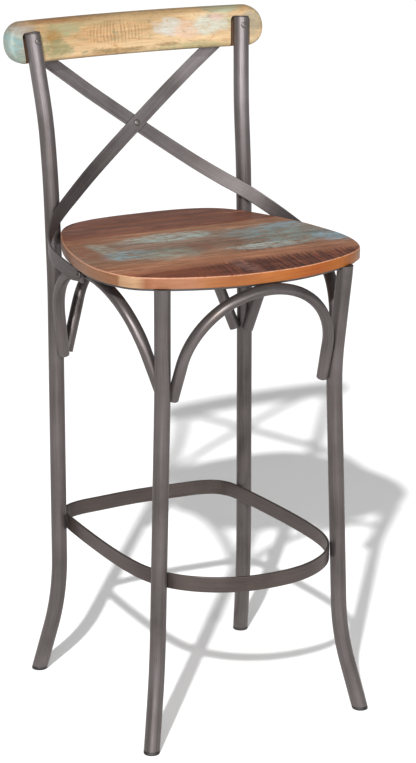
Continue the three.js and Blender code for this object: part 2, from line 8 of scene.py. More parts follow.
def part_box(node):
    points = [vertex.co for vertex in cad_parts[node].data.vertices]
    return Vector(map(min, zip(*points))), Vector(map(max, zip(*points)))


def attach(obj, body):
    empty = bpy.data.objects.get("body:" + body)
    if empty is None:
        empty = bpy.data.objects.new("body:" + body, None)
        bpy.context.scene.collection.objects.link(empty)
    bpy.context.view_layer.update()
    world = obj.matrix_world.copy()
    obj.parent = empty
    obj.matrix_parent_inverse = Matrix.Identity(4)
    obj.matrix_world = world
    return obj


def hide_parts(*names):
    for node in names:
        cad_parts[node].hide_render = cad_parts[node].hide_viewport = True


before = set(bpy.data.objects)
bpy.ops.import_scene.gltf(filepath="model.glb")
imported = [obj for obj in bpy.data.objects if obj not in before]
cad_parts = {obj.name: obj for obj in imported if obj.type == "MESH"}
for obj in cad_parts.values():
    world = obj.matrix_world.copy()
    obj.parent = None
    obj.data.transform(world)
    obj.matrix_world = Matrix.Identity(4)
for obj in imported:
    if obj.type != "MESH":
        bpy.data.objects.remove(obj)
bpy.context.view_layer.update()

# The points below are in millimetres in the frame of the stool's own drawing; the packed
# part is centred on its footprint, so the ring's box tells how far that moved it in Y.
RING_REAR_Y = 218.5
SHIFT_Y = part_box("footrest_ring")[1][1] * 1000 - RING_REAR_Y
ORIGIN = np.array([0.0, SHIFT_Y, 0.0])


def heights(node):
    """The lowest and the highest point of a CAD node, in millimetres."""
    low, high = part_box(node)
    return low[2] * 1000, high[2] * 1000


SEAT_BOTTOM, SEAT_TOP = heights("seat_board_2")
FRAME_BOTTOM, FRAME_TOP = heights("seat_frame")
RAIL_BOTTOM, RAIL_TOP = heights("top_rail")
RING_BOTTOM, RING_TOP = heights("footrest_ring")

GAP = 0.3
LEG_R = 12.7
LEG_BORE_R = 11.2
BRACE_R = 9.5
BRACE_BORE_R = 8.1
# Bending squeezes the brace tube by this share in the plane of its arch, and the tube
# bulges sideways by this part of the squeeze.
BRACE_FLATTENING = 0.12
BRACE_BULGE = 0.75
BRACE_SADDLE = 1.5
BRACE_APEX_Z = FRAME_BOTTOM - GAP - BRACE_R * (1 - BRACE_FLATTENING) + BRACE_SADDLE
BRACE_END_Z = 557
FRONT_BRACE_RISE = 1.3
GLIDE_HEIGHT = 5
PLUG_R = 9.8
PLUG_TOP = 20
RING_THICKNESS = 4
FRAME_INSET = 5
FRAME_WIDTH = 30
STRAP_WIDTH = 23
STRAP_THICKNESS = 3
STRAP_STANDOFF = 0.4
NUT_STANDOFF = 0.8
# Where along the strap (0 to 1) the screw into the rail sits.
STRAP_SCREW_AT = 0.965
CROSSING_SPREAD = 75
CROSSING_AIR = 0.1
SEAT_EASE = 2.8

RAIL_HALF_LENGTH = 231.5
RAIL_THICKNESS = 25
RAIL_FRONT_Y = 227.5
RAIL_LEVEL = 1025
RAIL_LEAN = 0.178
RAIL_BEND_R = 1400
RAIL_CORNER_R = 31
RAIL_EASE = 8
NOTCH_HALF = 16.5
NOTCH_HEAD = 2.6
NOTCH_CORNER_R = 7
LEG_LID = 3
# How far outside the seat frame's edge a front leg's raised rim starts.
RIM_CLEARANCE = 0.6
# How far below the post's top the rail screw sits.
RAIL_SCREW_DROP = 13
# Points per span when a curve is drawn, and the radius that stands for a turned piece's axis.
FINE = 40
AXIS_R = 0.02
# Where the screws into the boards sit on the right: row, x, y.
SEAT_SCREWS = [("front", 92, -174), ("middle", 203, -62), ("rear", 84, 196)]

FRONT_LEG = [(192.2, -198.2, 0), (167, -168.4, 128), (153.4, -154.2, 574),
             (161.8, -167, FRAME_BOTTOM - GAP)]
FRONT_LEG_BENDS = [420, 600]
REAR_LEG = [(194.5, 197.9, 0), (175.4, 157.2, 145), (175.6, 170, 672), (177, 180.5, 832),
            (178.4, 193.5, 930), (190.2, 218.5, 1068.7)]
REAR_LEG_BENDS = [400, 1500, 1200, 900]

SIDE_APEX_X = 200.5
STRAP_BOLT_Y = 6
SIDE_BRACE = [(150.2, -153.4, BRACE_END_Z), (171, 149, BRACE_END_Z),
              (SIDE_APEX_X, STRAP_BOLT_Y, BRACE_APEX_Z)]
# Both ends and the apex of each brace, and the radius of its arch.
BRACES = {
    "brace_front": ([(-134.2, -151, BRACE_END_Z), (134.2, -151, BRACE_END_Z),
                     (0, -210.5, BRACE_APEX_Z + FRONT_BRACE_RISE)], 130),
    "brace_rear": ([(-157, 165.5, BRACE_END_Z), (157, 165.5, BRACE_END_Z),
                    (0, 197, BRACE_APEX_Z)], 136),
    "brace_right": (SIDE_BRACE, 136),
    "brace_left": ([(-x, y, z) for x, y, z in SIDE_BRACE], 136),
}

SEAT_OUTLINE = [(0, -209.5), (62, -205.5), (115, -191.5), (163, -172), (202.5, -143.5),
                (221, -106), (228.5, -55), (222, 5), (210.5, 60), (190, 117), (161.5, 174),
                (134, 201.5), (94, 217), (46, 223.5), (0, 224.5)]
RING_OUTLINE = [(0, -236.5), (50, -231), (92, -214), (126, -188), (149.6, -155.5),
                (163, -118), (169, -68), (170, -10), (168, 50), (165, 105), (160.2, 158),
                (155, 179), (142, 197), (118, 207.5), (70, 212.5), (0, 216.5)]
BOARD_SEAMS = [-260, -105, -8, 72, 98, 160, 260]

BRACE_HALF_WIDTH = BRACE_R * (1 + BRACE_BULGE * BRACE_FLATTENING)
STRAP_START_X = SIDE_APEX_X + BRACE_HALF_WIDTH + STRAP_STANDOFF + STRAP_THICKNESS / 2
# Points on the strap: x, y, z, bearing of its face in degrees, and how far the face leans.
STRAP_PATH = [(STRAP_START_X, -4, 727, 0, 0), (STRAP_START_X, 12, 727, -2, 0),
              (218.2, 23, 727.3, -18, 0), (222.8, 40, 733, -12, 0),
              (224, 62, 738, -3, 0), (222.4, 88, 744, 10, 0),
              (214.6, 112, 753.5, 28, 0.02), (203.4, 130, 764, 44, 0.06),
              (185.6, 149, 779, 56, 0.12), (164, 163.6, 794.5, 66, 0.22),
              (136, 179.6, 812, 73, 0.3), (93.4, 199.4, 840.5, 83, 0.34),
              (36, 216.8, 881.5, 90, 0.34), (-36, 234, 933.5, 91, 0.33),
              (-77.6, 242.3, 963.5, 94, 0.26), (-118, 247, 994, 96, 0.19),
              (-150, 249, 1018, 97, 0.178), (-176, 249, 1038, 98, 0.178)]


# ---------------------------------------------------------------- geometry helpers
def unit(v):
    return v / np.linalg.norm(v)


def placed(name, data):
    """A new object in the scene for a mesh, a lamp or a camera."""
    piece = bpy.data.objects.new(name, data)
    bpy.context.collection.objects.link(piece)
    return piece


def turns(count):
    """Angles at equal steps round a circle."""
    return np.arange(count) * 2 * math.pi / count


def mirrored(points):
    return [(-x, y, z) for x, y, z in points]


def run_along(points):
    """The length of the line up to each of its points."""
    steps = np.linalg.norm(np.diff(points, axis=0), axis=1)
    return np.concatenate([[0], np.cumsum(steps)])


def bent_line(corners, radii, step=1.2):
    """Straight runs joined by circular bends, sampled every "step" degrees of turn."""
    corners = [np.array(c, float) for c in corners]
    points = [corners[0]]
    for i in range(1, len(corners) - 1):
        back = unit(corners[i - 1] - corners[i])
        ahead = unit(corners[i + 1] - corners[i])
        turn = math.pi - math.acos(np.clip(back @ ahead, -1, 1))
        reach = radii[i - 1] * math.tan(turn / 2)
        centre = corners[i] + unit(back + ahead) * radii[i - 1] / math.cos(turn / 2)
        arm = corners[i] + back * reach - centre
        other = corners[i] + ahead * reach - centre
        normal = unit(np.cross(arm, other))
        count = max(3, int(math.degrees(turn) / step))
        for k in range(count + 1):
            a = turn * k / count
            points.append(centre + arm * math.cos(a) + np.cross(normal, arm) * math.sin(a))
    points.append(corners[-1])
    return np.array(points)


def brace_path(start, end, apex, radius, steps=72):
    """A round arch through the apex with straight tails to both ends."""
    foot = np.array(start, float)
    last = np.array(end, float)
    top = np.array(apex, float)
    middle = (foot + last) / 2
    up = unit(top - middle)
    half = np.linalg.norm(foot - middle)
    across = (foot - middle) / half
    centre = top - up * radius
    below = np.linalg.norm(top - middle) - radius
    tangent = math.acos(radius / math.hypot(half, below)) - math.atan2(below, half)
    angles = np.linspace(tangent, math.pi - tangent, steps + 1)
    arc = [centre + across * radius * math.cos(a) + up * radius * math.sin(a) for a in angles]
    return np.array([foot] + arc + [last])


def blend(s, low, high, a, b):
    """From a at "low" to b at "high", in a straight line."""
    return (high - s) / (high - low) * a + (s - low) / (high - low) * b


def catmull(points, closed, count):
    """A centripetal Catmull-Rom curve at "count" equal steps of length, and the knot
    parameter of each step."""
    p = np.array(points, float)
    n = len(p)
    spans = n if closed else n - 1
    fine, places = [], []
    for i in range(spans):
        if closed:
            q = [p[(i + k - 1) % n] for k in range(4)]
        else:
            q = [p[i - 1] if i else 2 * p[0] - p[1], p[i], p[i + 1],
                 p[i + 2] if i + 2 < n else 2 * p[-1] - p[-2]]
        t = [0.0]
        for a, b in zip(q, q[1:]):
            t.append(t[-1] + math.sqrt(np.linalg.norm(b[:3] - a[:3])))
        for k in range(FINE):
            s = t[1] + (t[2] - t[1]) * k / FINE
            a = [blend(s, t[m], t[m + 1], q[m], q[m + 1]) for m in range(3)]
            b = [blend(s, t[m], t[m + 2], a[m], a[m + 1]) for m in range(2)]
            fine.append(blend(s, t[1], t[2], *b))
            places.append(i + k / FINE)
    fine.append(fine[0] if closed else p[-1])
    places.append(spans)
    fine = np.array(fine)
    run = run_along(fine[:, :3])
    at = np.linspace(0, run[-1], count + 1)
    curve = np.column_stack([np.interp(at, run, fine[:, k]) for k in range(fine.shape[1])])
    place = np.interp(at, run, places)
    return (curve[:-1], place[:-1]) if closed else (curve, place)


def closed_outline(half, count):
    """The whole outline from its right half."""
    left = [(-x, y) for x, y in half[1:-1][::-1]]
    points = [(x, y, 0.0) for x, y in list(half) + left]
    return catmull(points, True, count)[0][:, :2]


def offset_outline(points, distance):
    along = np.roll(points, -1, 0) - np.roll(points, 1, 0)
    along /= np.linalg.norm(along, axis=1)[:, None]
    return points + distance * np.column_stack([along[:, 1], -along[:, 0]])


def seat_edge(distance):
    """The seat's outline, moved outwards by a distance."""
    return offset_outline(closed_outline(SEAT_OUTLINE, 200), distance)


class Body:
    """Vertices in millimetres, faces, and a flow coordinate for each vertex."""

    def __init__(self):
        self.points, self.faces, self.flow = [], [], []

    def ring(self, points, flow):
        first = len(self.points)
        self.points.extend(points)
        self.flow.extend(flow)
        return list(range(first, first + len(points)))

    def skin(self, loops, closed=False):
        """Faces from each ring to the next; the ends are capped, or joined if "closed"."""
        for a, b in zip(loops, loops[1:] + loops[:1] if closed else loops[1:]):
            for j in range(len(a)):
                k = (j + 1) % len(a)
                self.faces.append((a[j], a[k], b[k], b[j]))
        if not closed:
            self.faces += [tuple(loops[0][::-1]), tuple(loops[-1])]


def plain_object(name, body):
    """An object with the body's faces, all turned outwards."""
    mesh = bpy.data.meshes.new(name)
    points = (np.array(body.points, float) + ORIGIN) / 1000
    mesh.from_pydata([tuple(p) for p in points], [], body.faces)
    mesh.validate()
    bm = bmesh.new()
    bm.from_mesh(mesh)
    bmesh.ops.recalc_face_normals(bm, faces=bm.faces)
    bm.to_mesh(mesh)
    bm.free()
    return placed(name, mesh)


def make(name, body, finish, node, sharp=40):
    """A piece of the part, riding on it and standing for one CAD node."""
    material, slot = finish
    piece = plain_object(name, body)
    mesh = piece.data
    flow = mesh.attributes.new("flow", "FLOAT_VECTOR", "POINT")
    flow.data.foreach_set("vector", (np.array(body.flow, float) / 1000).ravel())
    for polygon in mesh.polygons:
        polygon.use_smooth = True
    mesh.set_sharp_from_angle(angle=math.radians(sharp))
    mesh.materials.append(material)
    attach(piece, "root")
    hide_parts(node)


def frames(path):
    """Tangent, side and up vectors carried along a path without twist."""
    ahead = np.vstack([path[1:], path[-1:]])
    behind = np.vstack([path[:1], path[:-1]])
    along = ahead - behind
    along /= np.linalg.norm(along, axis=1)[:, None]
    side = np.array([0, 0, 1.0]) if abs(along[0][0]) > 0.9 else np.array([1.0, 0, 0])
    sides = []
    for t in along:
        side = unit(side - t * (side @ t))
        sides.append(side)
    sides = np.array(sides)
    return along, sides, np.cross(along, sides)


def refine(path, step):
    """Adds points so that no two are further apart than "step"."""
    out = [path[0]]
    for a, b in zip(path, path[1:]):
        n = max(1, int(np.linalg.norm(b - a) / step))
        out.extend(a + (b - a) * k / n for k in range(1, n + 1))
    return np.array(out)


def tube(path, radius, bore, sides=40, lip=0.5, start_z=None, top_z=None, flattening=0.0):
    """A hollow round tube with slightly rounded rims; it may be cut level at either end.
    "flattening" squeezes the bend of a flat arch in its own plane."""
    tail = np.linalg.norm(path[1] - path[0])
    path = refine(path, 12)
    run = run_along(path)
    along, side, up = frames(path)
    squeeze = np.zeros(len(path))
    if flattening:
        side = np.tile(unit(np.cross(along[0], along[-1])), (len(path), 1))
        up = np.cross(along, side)
        # The squeeze comes in smoothly, from a little before the bend.
        early, eased_over = 15, 45
        from_bend = np.minimum(run, run[-1] - run) - tail
        inside = np.clip((from_bend + early) / eased_over, 0, 1)
        squeeze = flattening * inside * inside * (3 - 2 * inside)
    angles = turns(sides)
    body = Body()

    def circle(i, r, push=0.0):
        spokes = (np.outer(np.cos(angles), side[i]) * (1 + BRACE_BULGE * squeeze[i])
                  + np.outer(np.sin(angles), up[i]) * (1 - squeeze[i]))
        points = path[i] + spokes * r + along[i] * push
        for level, end in ((start_z, 0), (top_z, len(path) - 1)):
            if level is not None and i == end:
                points = points + np.outer((level - points[:, 2]) / along[i][2], along[i])
                points = points + along[i] * push
        flow = [(r * math.cos(a), r * math.sin(a), run[i]) for a in angles]
        return body.ring(list(points), flow)

    last = len(path) - 1
    loops = [circle(0, bore, lip), circle(0, bore + lip, 0), circle(0, radius - lip, 0),
             circle(0, radius, lip)]
    loops += [circle(i, radius) for i in range(1, last)]
    loops += [circle(last, radius, -lip), circle(last, radius - lip, 0),
              circle(last, bore + lip, 0), circle(last, bore, -lip)]
    loops += [circle(i, bore) for i in range(last - 1, 0, -max(1, last // 30))]
    body.skin(loops, True)
    return body


def bar(stations, section, closed=False):
    """A body through stations of (centre, across, face, run) with a section of (w, t)."""
    body = Body()
    loops = []
    for centre, across, face, run in stations:
        points = [centre + across * w + face * t for w, t in section]
        loops.append(body.ring(points, [(w, t, run) for w, t in section]))
    body.skin(loops, closed)
    return body


def eased_section(width, thickness, ease, arc=3):
    """A rectangle with rounded corners; the extra points keep its wide faces flat in light."""
    points = []
    flat = min(0.5, ease)
    for cx, cy, a0 in ((1, -1, -90), (1, 1, 0), (-1, 1, 90), (-1, -1, 180)):
        arcs = []
        for k in range(arc + 1):
            a = math.radians(a0 + 90 * k / arc)
            arcs.append((cx * (width / 2 - ease) + ease * math.cos(a),
                         cy * (thickness / 2 - ease) + ease * math.sin(a)))
        if a0 in (-90, 90):
            points.append((arcs[0][0] - cx * flat, arcs[0][1]))
            points.extend(arcs)
        else:
            points.extend(arcs)
            points.append((arcs[-1][0] - cx * flat, arcs[-1][1]))
    return points


def turned(profile, origin, axis, sides=24):
    """A turned piece: (radius, height) pairs from one end of the axis to the other."""
    axis = unit(np.array(axis, float))
    side = unit(np.cross(axis, [0, 0, 1.0] if abs(axis[2]) < 0.9 else [1.0, 0, 0]))
    up = np.cross(axis, side)
    body = Body()
    loops = []
    for r, h in profile:
        r = max(r, AXIS_R)
        points = [np.array(origin) + axis * h + side * r * math.cos(a) + up * r * math.sin(a)
                  for a in turns(sides)]
        flow = [(r * math.cos(a), r * math.sin(a), h) for a in turns(sides)]
        loops.append(body.ring(points, flow))
    body.skin(loops)
    return body


# ---------------------------------------------------------------- materials
class Shader:
    """Small helper that adds nodes to one material."""

    def __init__(self, name):
        self.material = bpy.data.materials.new(name)
        self.material.use_nodes = True
        self.tree = self.material.node_tree
        self.surface = self.tree.nodes["Principled BSDF"]

    def put(self, socket, value):
        if isinstance(value, bpy.types.NodeSocket):
            self.tree.links.new(value, socket)
        elif value is not None:
            socket.default_value = value

    def add(self, kind, inputs=(), **settings):
        """The outputs of a new node; an input is a value or another node's output."""
        node = self.tree.nodes.new(kind)
        for key, value in settings.items():
            setattr(node, key, value)
        for key, value in inputs:
            self.put(node.inputs[key], value)
        return node.outputs

    def math(self, operation, a, b=None):
        return self.add("ShaderNodeMath", ((0, a), (1, b)), operation=operation)[0]

    def times(self, a, b):
        return self.math("MULTIPLY", a, b)

    def plus(self, a, b):
        return self.math("ADD", a, b)

    def mean(self, a, b):
        return self.plus(self.times(a, 0.5), self.times(b, 0.5))

    def rest(self, share):
        return self.math("SUBTRACT", 1.0, share)

    def split(self, vector):
        return self.add("ShaderNodeSeparateXYZ", ((0, vector),))

    def stretch(self, vector, scale, move=(0, 0, 0), turn=(0, 0, 0)):
        return self.add("ShaderNodeMapping", (("Vector", vector), ("Scale", scale),
                                              ("Location", move), ("Rotation", turn)))[0]

    def noise(self, vector, scale, detail=4, rough=0.55, distortion=0.0):
        return self.add("ShaderNodeTexNoise", (("Vector", vector), ("Scale", scale),
                                               ("Detail", detail), ("Roughness", rough),
                                               ("Distortion", distortion)))["Fac"]

    def ramp(self, fac, stops):
        node = self.tree.nodes.new("ShaderNodeValToRGB")
        elements = node.color_ramp.elements
        while len(elements) > 1:
            elements.remove(elements[-1])
        for i, (at, color) in enumerate(stops):
            element = elements.new(at) if i else elements[0]
            element.position = at
            element.color = (*color, 1)
        self.put(node.inputs[0], fac)
        return node.outputs[0]

    def band(self, value, low, high, out_low=0.0, out_high=1.0, shape="SMOOTHSTEP"):
        return self.add("ShaderNodeMapRange", (("Value", value), ("From Min", low),
                                               ("From Max", high), ("To Min", out_low),
                                               ("To Max", out_high)), interpolation_type=shape)[0]

    def mix(self, fac, a, b, blend="MIX"):
        a, b = ((*c, 1) if isinstance(c, tuple) else c for c in (a, b))
        return self.add("ShaderNodeMix", ((0, fac), (6, a), (7, b)), data_type="RGBA",
                        blend_type=blend)[2]

    def scaled(self, color, factor):
        """The colour multiplied by another."""
        return self.mix(1.0, color, factor, "MULTIPLY")

    def toned(self, cover, color, factor):
        """The colour, multiplied by "factor" where "cover" is 1."""
        return self.mix(cover, color, self.scaled(color, factor))

    def bump(self, height, strength, distance, normal=None):
        return self.add("ShaderNodeBump", (("Height", height), ("Strength", strength),
                                           ("Distance", distance), ("Normal", normal)))[0]

    def finish(self, color, roughness, normal, metallic=0.0, coat=0.0, coat_rough=0.1,
               specular=0.5):
        for key, value in (("Base Color", color), ("Roughness", roughness), ("Normal", normal),
                           ("Metallic", metallic), ("Coat Weight", coat),
                           ("Coat Roughness", coat_rough), ("Specular IOR Level", specular)):
            self.put(self.surface.inputs[key], value)
        return self.material


def rgb(r, g, b):
    """Linear colour from the usual 0 to 255 numbers."""
    def linear(c):
        c /= 255
        return c / 12.92 if c <= 0.04045 else ((c + 0.055) / 1.055) ** 2.4
    return (linear(r), linear(g), linear(b))


def steel(name, dark, light, rough=(0.33, 0.47)):
    """Lacquered bare steel: drawn streaks along the piece, cloudy tone, fine scratches and a
    painted highlight towards the top.
    """
    s = Shader(name)
    flow = s.add("ShaderNodeAttribute", attribute_name="flow")["Vector"]
    place = s.add("ShaderNodeTexCoord")["Object"]
    clouds = s.noise(place, 11, 5, 0.55)
    streaks = s.noise(s.stretch(flow, (420, 420, 9)), 1.0, 6, 0.65)
    fine = s.noise(s.stretch(flow, (1500, 1500, 45)), 1.0, 3, 0.6)
    middle = tuple((a + b) / 2 for a, b in zip(dark, light))
    color = s.ramp(s.mean(clouds, streaks), [(0.32, dark), (0.5, middle), (0.7, light)])
    stain = s.band(s.noise(place, 26, 4, 0.6), 0.6, 0.72, 0.0, 0.3)
    color = s.mix(stain, color, rgb(92, 74, 62))
    specks = s.band(s.noise(place, 190, 3, 0.7), 0.66, 0.74)
    color = s.mix(s.times(specks, 0.3), color, tuple(c * 0.45 for c in dark))
    # Painted highlight: lighter towards the top of the stool; darker round the footrest and just
    # below the seat.
    color = s.scaled(color, s.ramp(s.split(place)[2], TONE_AND_HIGHLIGHT_BY_HEIGHT))
    roughness = s.band(s.mean(clouds, fine), 0.35, 0.65, *rough)
    normal = s.bump(s.plus(streaks, s.times(fine, 0.5)), 0.2, 0.0004)
    normal = s.bump(s.noise(place, 42, 2, 0.5), 0.12, 0.0008, normal)
    s.surface.inputs["Specular Tint"].default_value = (0.7, 0.64, 0.62, 1)
    return s.finish(color, roughness, normal, metallic=0.65, coat=0.12, coat_rough=0.3)


def plastic(name):
    s = Shader(name)
    place = s.add("ShaderNodeTexCoord")["Object"]
    grain = s.noise(place, 900, 4, 0.6)
    dirt = s.noise(place, 60, 4, 0.6)
    color = s.ramp(dirt, [(0.35, rgb(20, 18, 18)), (0.7, rgb(44, 40, 38))])
    return s.finish(color, s.band(dirt, 0.3, 0.7, 0.45, 0.7), s.bump(grain, 0.35, 0.0003),
                    specular=0.4)


def patch(s, place, centre, radii, warp, amount=0.9, soft=0.5):
    """1 inside an ellipse (millimetres) with a ragged edge, 0 outside."""
    def vector_math(operation, a, b=None):
        return s.add("ShaderNodeVectorMath", ((0, a), (1, b)), operation=operation)

    shift = vector_math("SUBTRACT", place, tuple(c / 1000 for c in centre))[0]
    scale = vector_math("MULTIPLY", shift, tuple(1000 / r if r else 0 for r in radii))[0]
    size = vector_math("LENGTH", scale)["Value"]
    edge = 1 + amount / 2
    return s.band(s.plus(size, s.times(warp, amount)), edge + soft / 2, edge - soft / 2)


def wood_grain(s, place, along=5, across=210, seed=0.0):
    """Broad figure, fibre streaks and pores for wood whose grain runs along X."""
    moved = s.stretch(place, (1, 1, 1), (seed, seed * 0.7, seed * 1.3))

    def drawn(length, width, detail, *shape):
        scale = (along * length, across * width, across * width)
        return s.noise(s.stretch(moved, scale), 1.0, detail, *shape)

    return drawn(1, 0.28, 5, 0.6, 0.8), drawn(3.5, 2.2, 5, 0.65), s.band(
        drawn(16, 9, 2, 0.5), 0.63, 0.72)


def saw_marks(s, place, pitch, warp, skew=0.0, sharp=0.9, even=1.0):
    """Ridges across the grain, about "pitch" millimetres apart and leaning by "skew"."""
    x, y, z = s.split(place)
    x = s.plus(s.plus(x, s.times(y, skew)), s.times(warp, 0.012))
    across = s.add("ShaderNodeCombineXYZ", ((0, x), (1, s.times(y, 0.09)),
                                            (2, s.times(z, 0.09))))[0]
    uneven = s.math("SUBTRACT", s.noise(across, 1500 / pitch, 3, 0.6), 0.5)
    wave = s.times(s.math("SINE", s.times(x, 2000 * math.pi / pitch)), even)
    return s.band(s.plus(wave, s.times(uneven, 7.0)), -0.6, sharp)


def seat_wood(name):
    s = Shader(name)
    place = s.add("ShaderNodeAttribute", attribute_name="flow")["Vector"]
    x, y = s.split(place)[:2]
    facing = s.split(s.add("ShaderNodeNewGeometry")["Normal"])[2]
    upward = s.band(facing, 0.55, 0.93)
    downward = s.band(facing, -0.4, -0.8)

    wide = s.noise(s.stretch(place, (9, 16, 0)), 1.0, 4, 0.55)
    rough_edge = s.noise(s.stretch(place, (28, 60, 0)), 1.0, 5, 0.7)
    chips = s.noise(s.stretch(place, (90, 260, 0)), 1.0, 6, 0.75)
    figure, fibre, pores = wood_grain(s, place)

    # Board by board: dark front board, greyed middle boards, brown rear boards.
    span = s.band(s.plus(y, s.times(wide, 0.006)), -0.222, 0.233, shape="LINEAR")
    board = s.ramp(span, BOARD_COLOURS)
    color = s.mix(s.band(figure, 0.38, 0.66), s.scaled(board, (0.7, 0.63, 0.58)), board)
    color = s.toned(s.band(figure, 0.55, 0.8, 0.0, 0.45), color, (1.28, 1.2, 1.12))

    # Saw marks across the front board and the painted middle.
    marks = saw_marks(s, place, 8.8, s.plus(wide, s.times(rough_edge, 0.4)), -0.2, 0.9, 0.4)
    front = s.band(y, -0.118, -0.138)
    sawn = s.times(front, patch(s, place, (70, -165, 0), (150, 60, 0), rough_edge))
    light_marks = patch(s, place, (85, -62, 0), (75, 26, 0), rough_edge)
    sawn = s.math("MAXIMUM", sawn, s.times(light_marks, 0.6))
    depth = s.times(sawn, s.band(chips, 0.3, 0.6, 0.4, 1.0))
    color = s.toned(s.times(depth, s.rest(marks)), color, (0.26, 0.2, 0.19))

    # Remnants of old paint, worn thin along the grain, and one painted glare on the front board.
    flakes = s.noise(s.stretch(place, (34, 170, 0)), 1.0, 6, 0.8, 0.6)
    worn = s.times(s.band(fibre, 0.38, 0.52, 0.35, 1.0), s.band(flakes, 0.42, 0.54))
    for centre, radii, tint, strength in PAINT_AND_GLARE_PATCHES:
        here = patch(s, place, (*centre, 0), (*radii, 0), rough_edge, 2.0, 0.7)
        here = s.times(here, s.band(worn, 0, 1, 0.12, 1.0))
        color = s.mix(s.times(here, strength), color, tint)

    # Fibres, blotches, pores and scratches over everything on the top.
    color = s.toned(s.band(fibre, 0.35, 0.58, 0.6, 0.0), color, (0.46, 0.38, 0.34))
    color = s.toned(s.band(fibre, 0.54, 0.7, 0.0, 0.5), color, (1.5, 1.42, 1.34))
    blotch = s.noise(s.stretch(place, (18, 44, 0), (0.31, 0.12, 0)), 1.0, 5, 0.7, 0.8)
    color = s.toned(s.band(blotch, 0.5, 0.34, 0.0, 0.55), color, (0.6, 0.52, 0.48))
    color = s.toned(s.band(blotch, 0.52, 0.68, 0.0, 0.4), color, (1.35, 1.3, 1.24))
    color = s.mix(s.times(pores, 0.35), color, rgb(52, 32, 24))
    scratches = s.noise(s.stretch(place, (6, 900, 0), turn=(0, 0, 0.5)), 1.0, 2, 0.5)
    color = s.mix(s.times(s.band(scratches, 0.7, 0.76), 0.25), color, rgb(176, 150, 132))

    # Sawn and sanded edge, fresh orange wood in blocks, and a lighter upper rim: painted highlight
    # on the eased edge, broken up like wear.
    front_edge = s.ramp(s.band(x, -0.23, 0.23, shape="LINEAR"), EDGE_COLOURS)
    left_edge = s.ramp(s.band(y, -0.2, 0.05, shape="LINEAR"), LEFT_EDGE_COLOURS)
    edge = s.mix(s.band(x, -0.09, -0.14), front_edge, left_edge)
    edge_grain = s.noise(s.stretch(place, (22, 22, 520)), 1.0, 5, 0.6)
    edge = s.toned(s.band(edge_grain, 0.35, 0.6, 0.5, 0.0), edge, (0.66, 0.58, 0.5))
    cloud = s.noise(place, 60, 4, 0.6)
    edge = s.toned(s.band(cloud, 0.55, 0.72, 0.0, 0.3), edge, (1.2, 1.16, 1.1))
    color = s.mix(upward, s.scaled(edge, (EDGE_SHADE,) * 3), color)
    # Painted highlight: a light line where the eased upper edge turns, broken up by chips and kept
    # to the outer edge.
    rim_wear_and_highlight = s.times(s.band(facing, 0.3, 0.55), s.band(facing, 0.96, 0.8))
    rim_wear_and_highlight = s.times(rim_wear_and_highlight, s.band(chips, 0.36, 0.56, 0.25, 0.75))
    inside = patch(s, place, (0, 0, 0), (212, 200, 0), rough_edge, 0.0, 0.05)
    color = s.mix(s.times(rim_wear_and_highlight, s.rest(inside)), color, rgb(178, 132, 108))
    color = s.mix(downward, color, rgb(120, 88, 66))

    roughness = s.band(s.mean(fibre, chips), 0.3, 0.7, 0.38, 0.62)
    height = s.plus(s.times(fibre, 0.5), s.times(figure, 0.35))
    height = s.math("SUBTRACT", height, s.times(pores, 0.35))
    ridges = s.times(s.times(depth, marks), upward)
    height = s.plus(height, s.times(ridges, 1.6))
    height = s.plus(height, s.times(s.times(worn, 0.3), upward))
    return s.finish(color, roughness, s.bump(height, 0.6, 0.0007), coat=0.04, coat_rough=0.3,
                    specular=0.22)


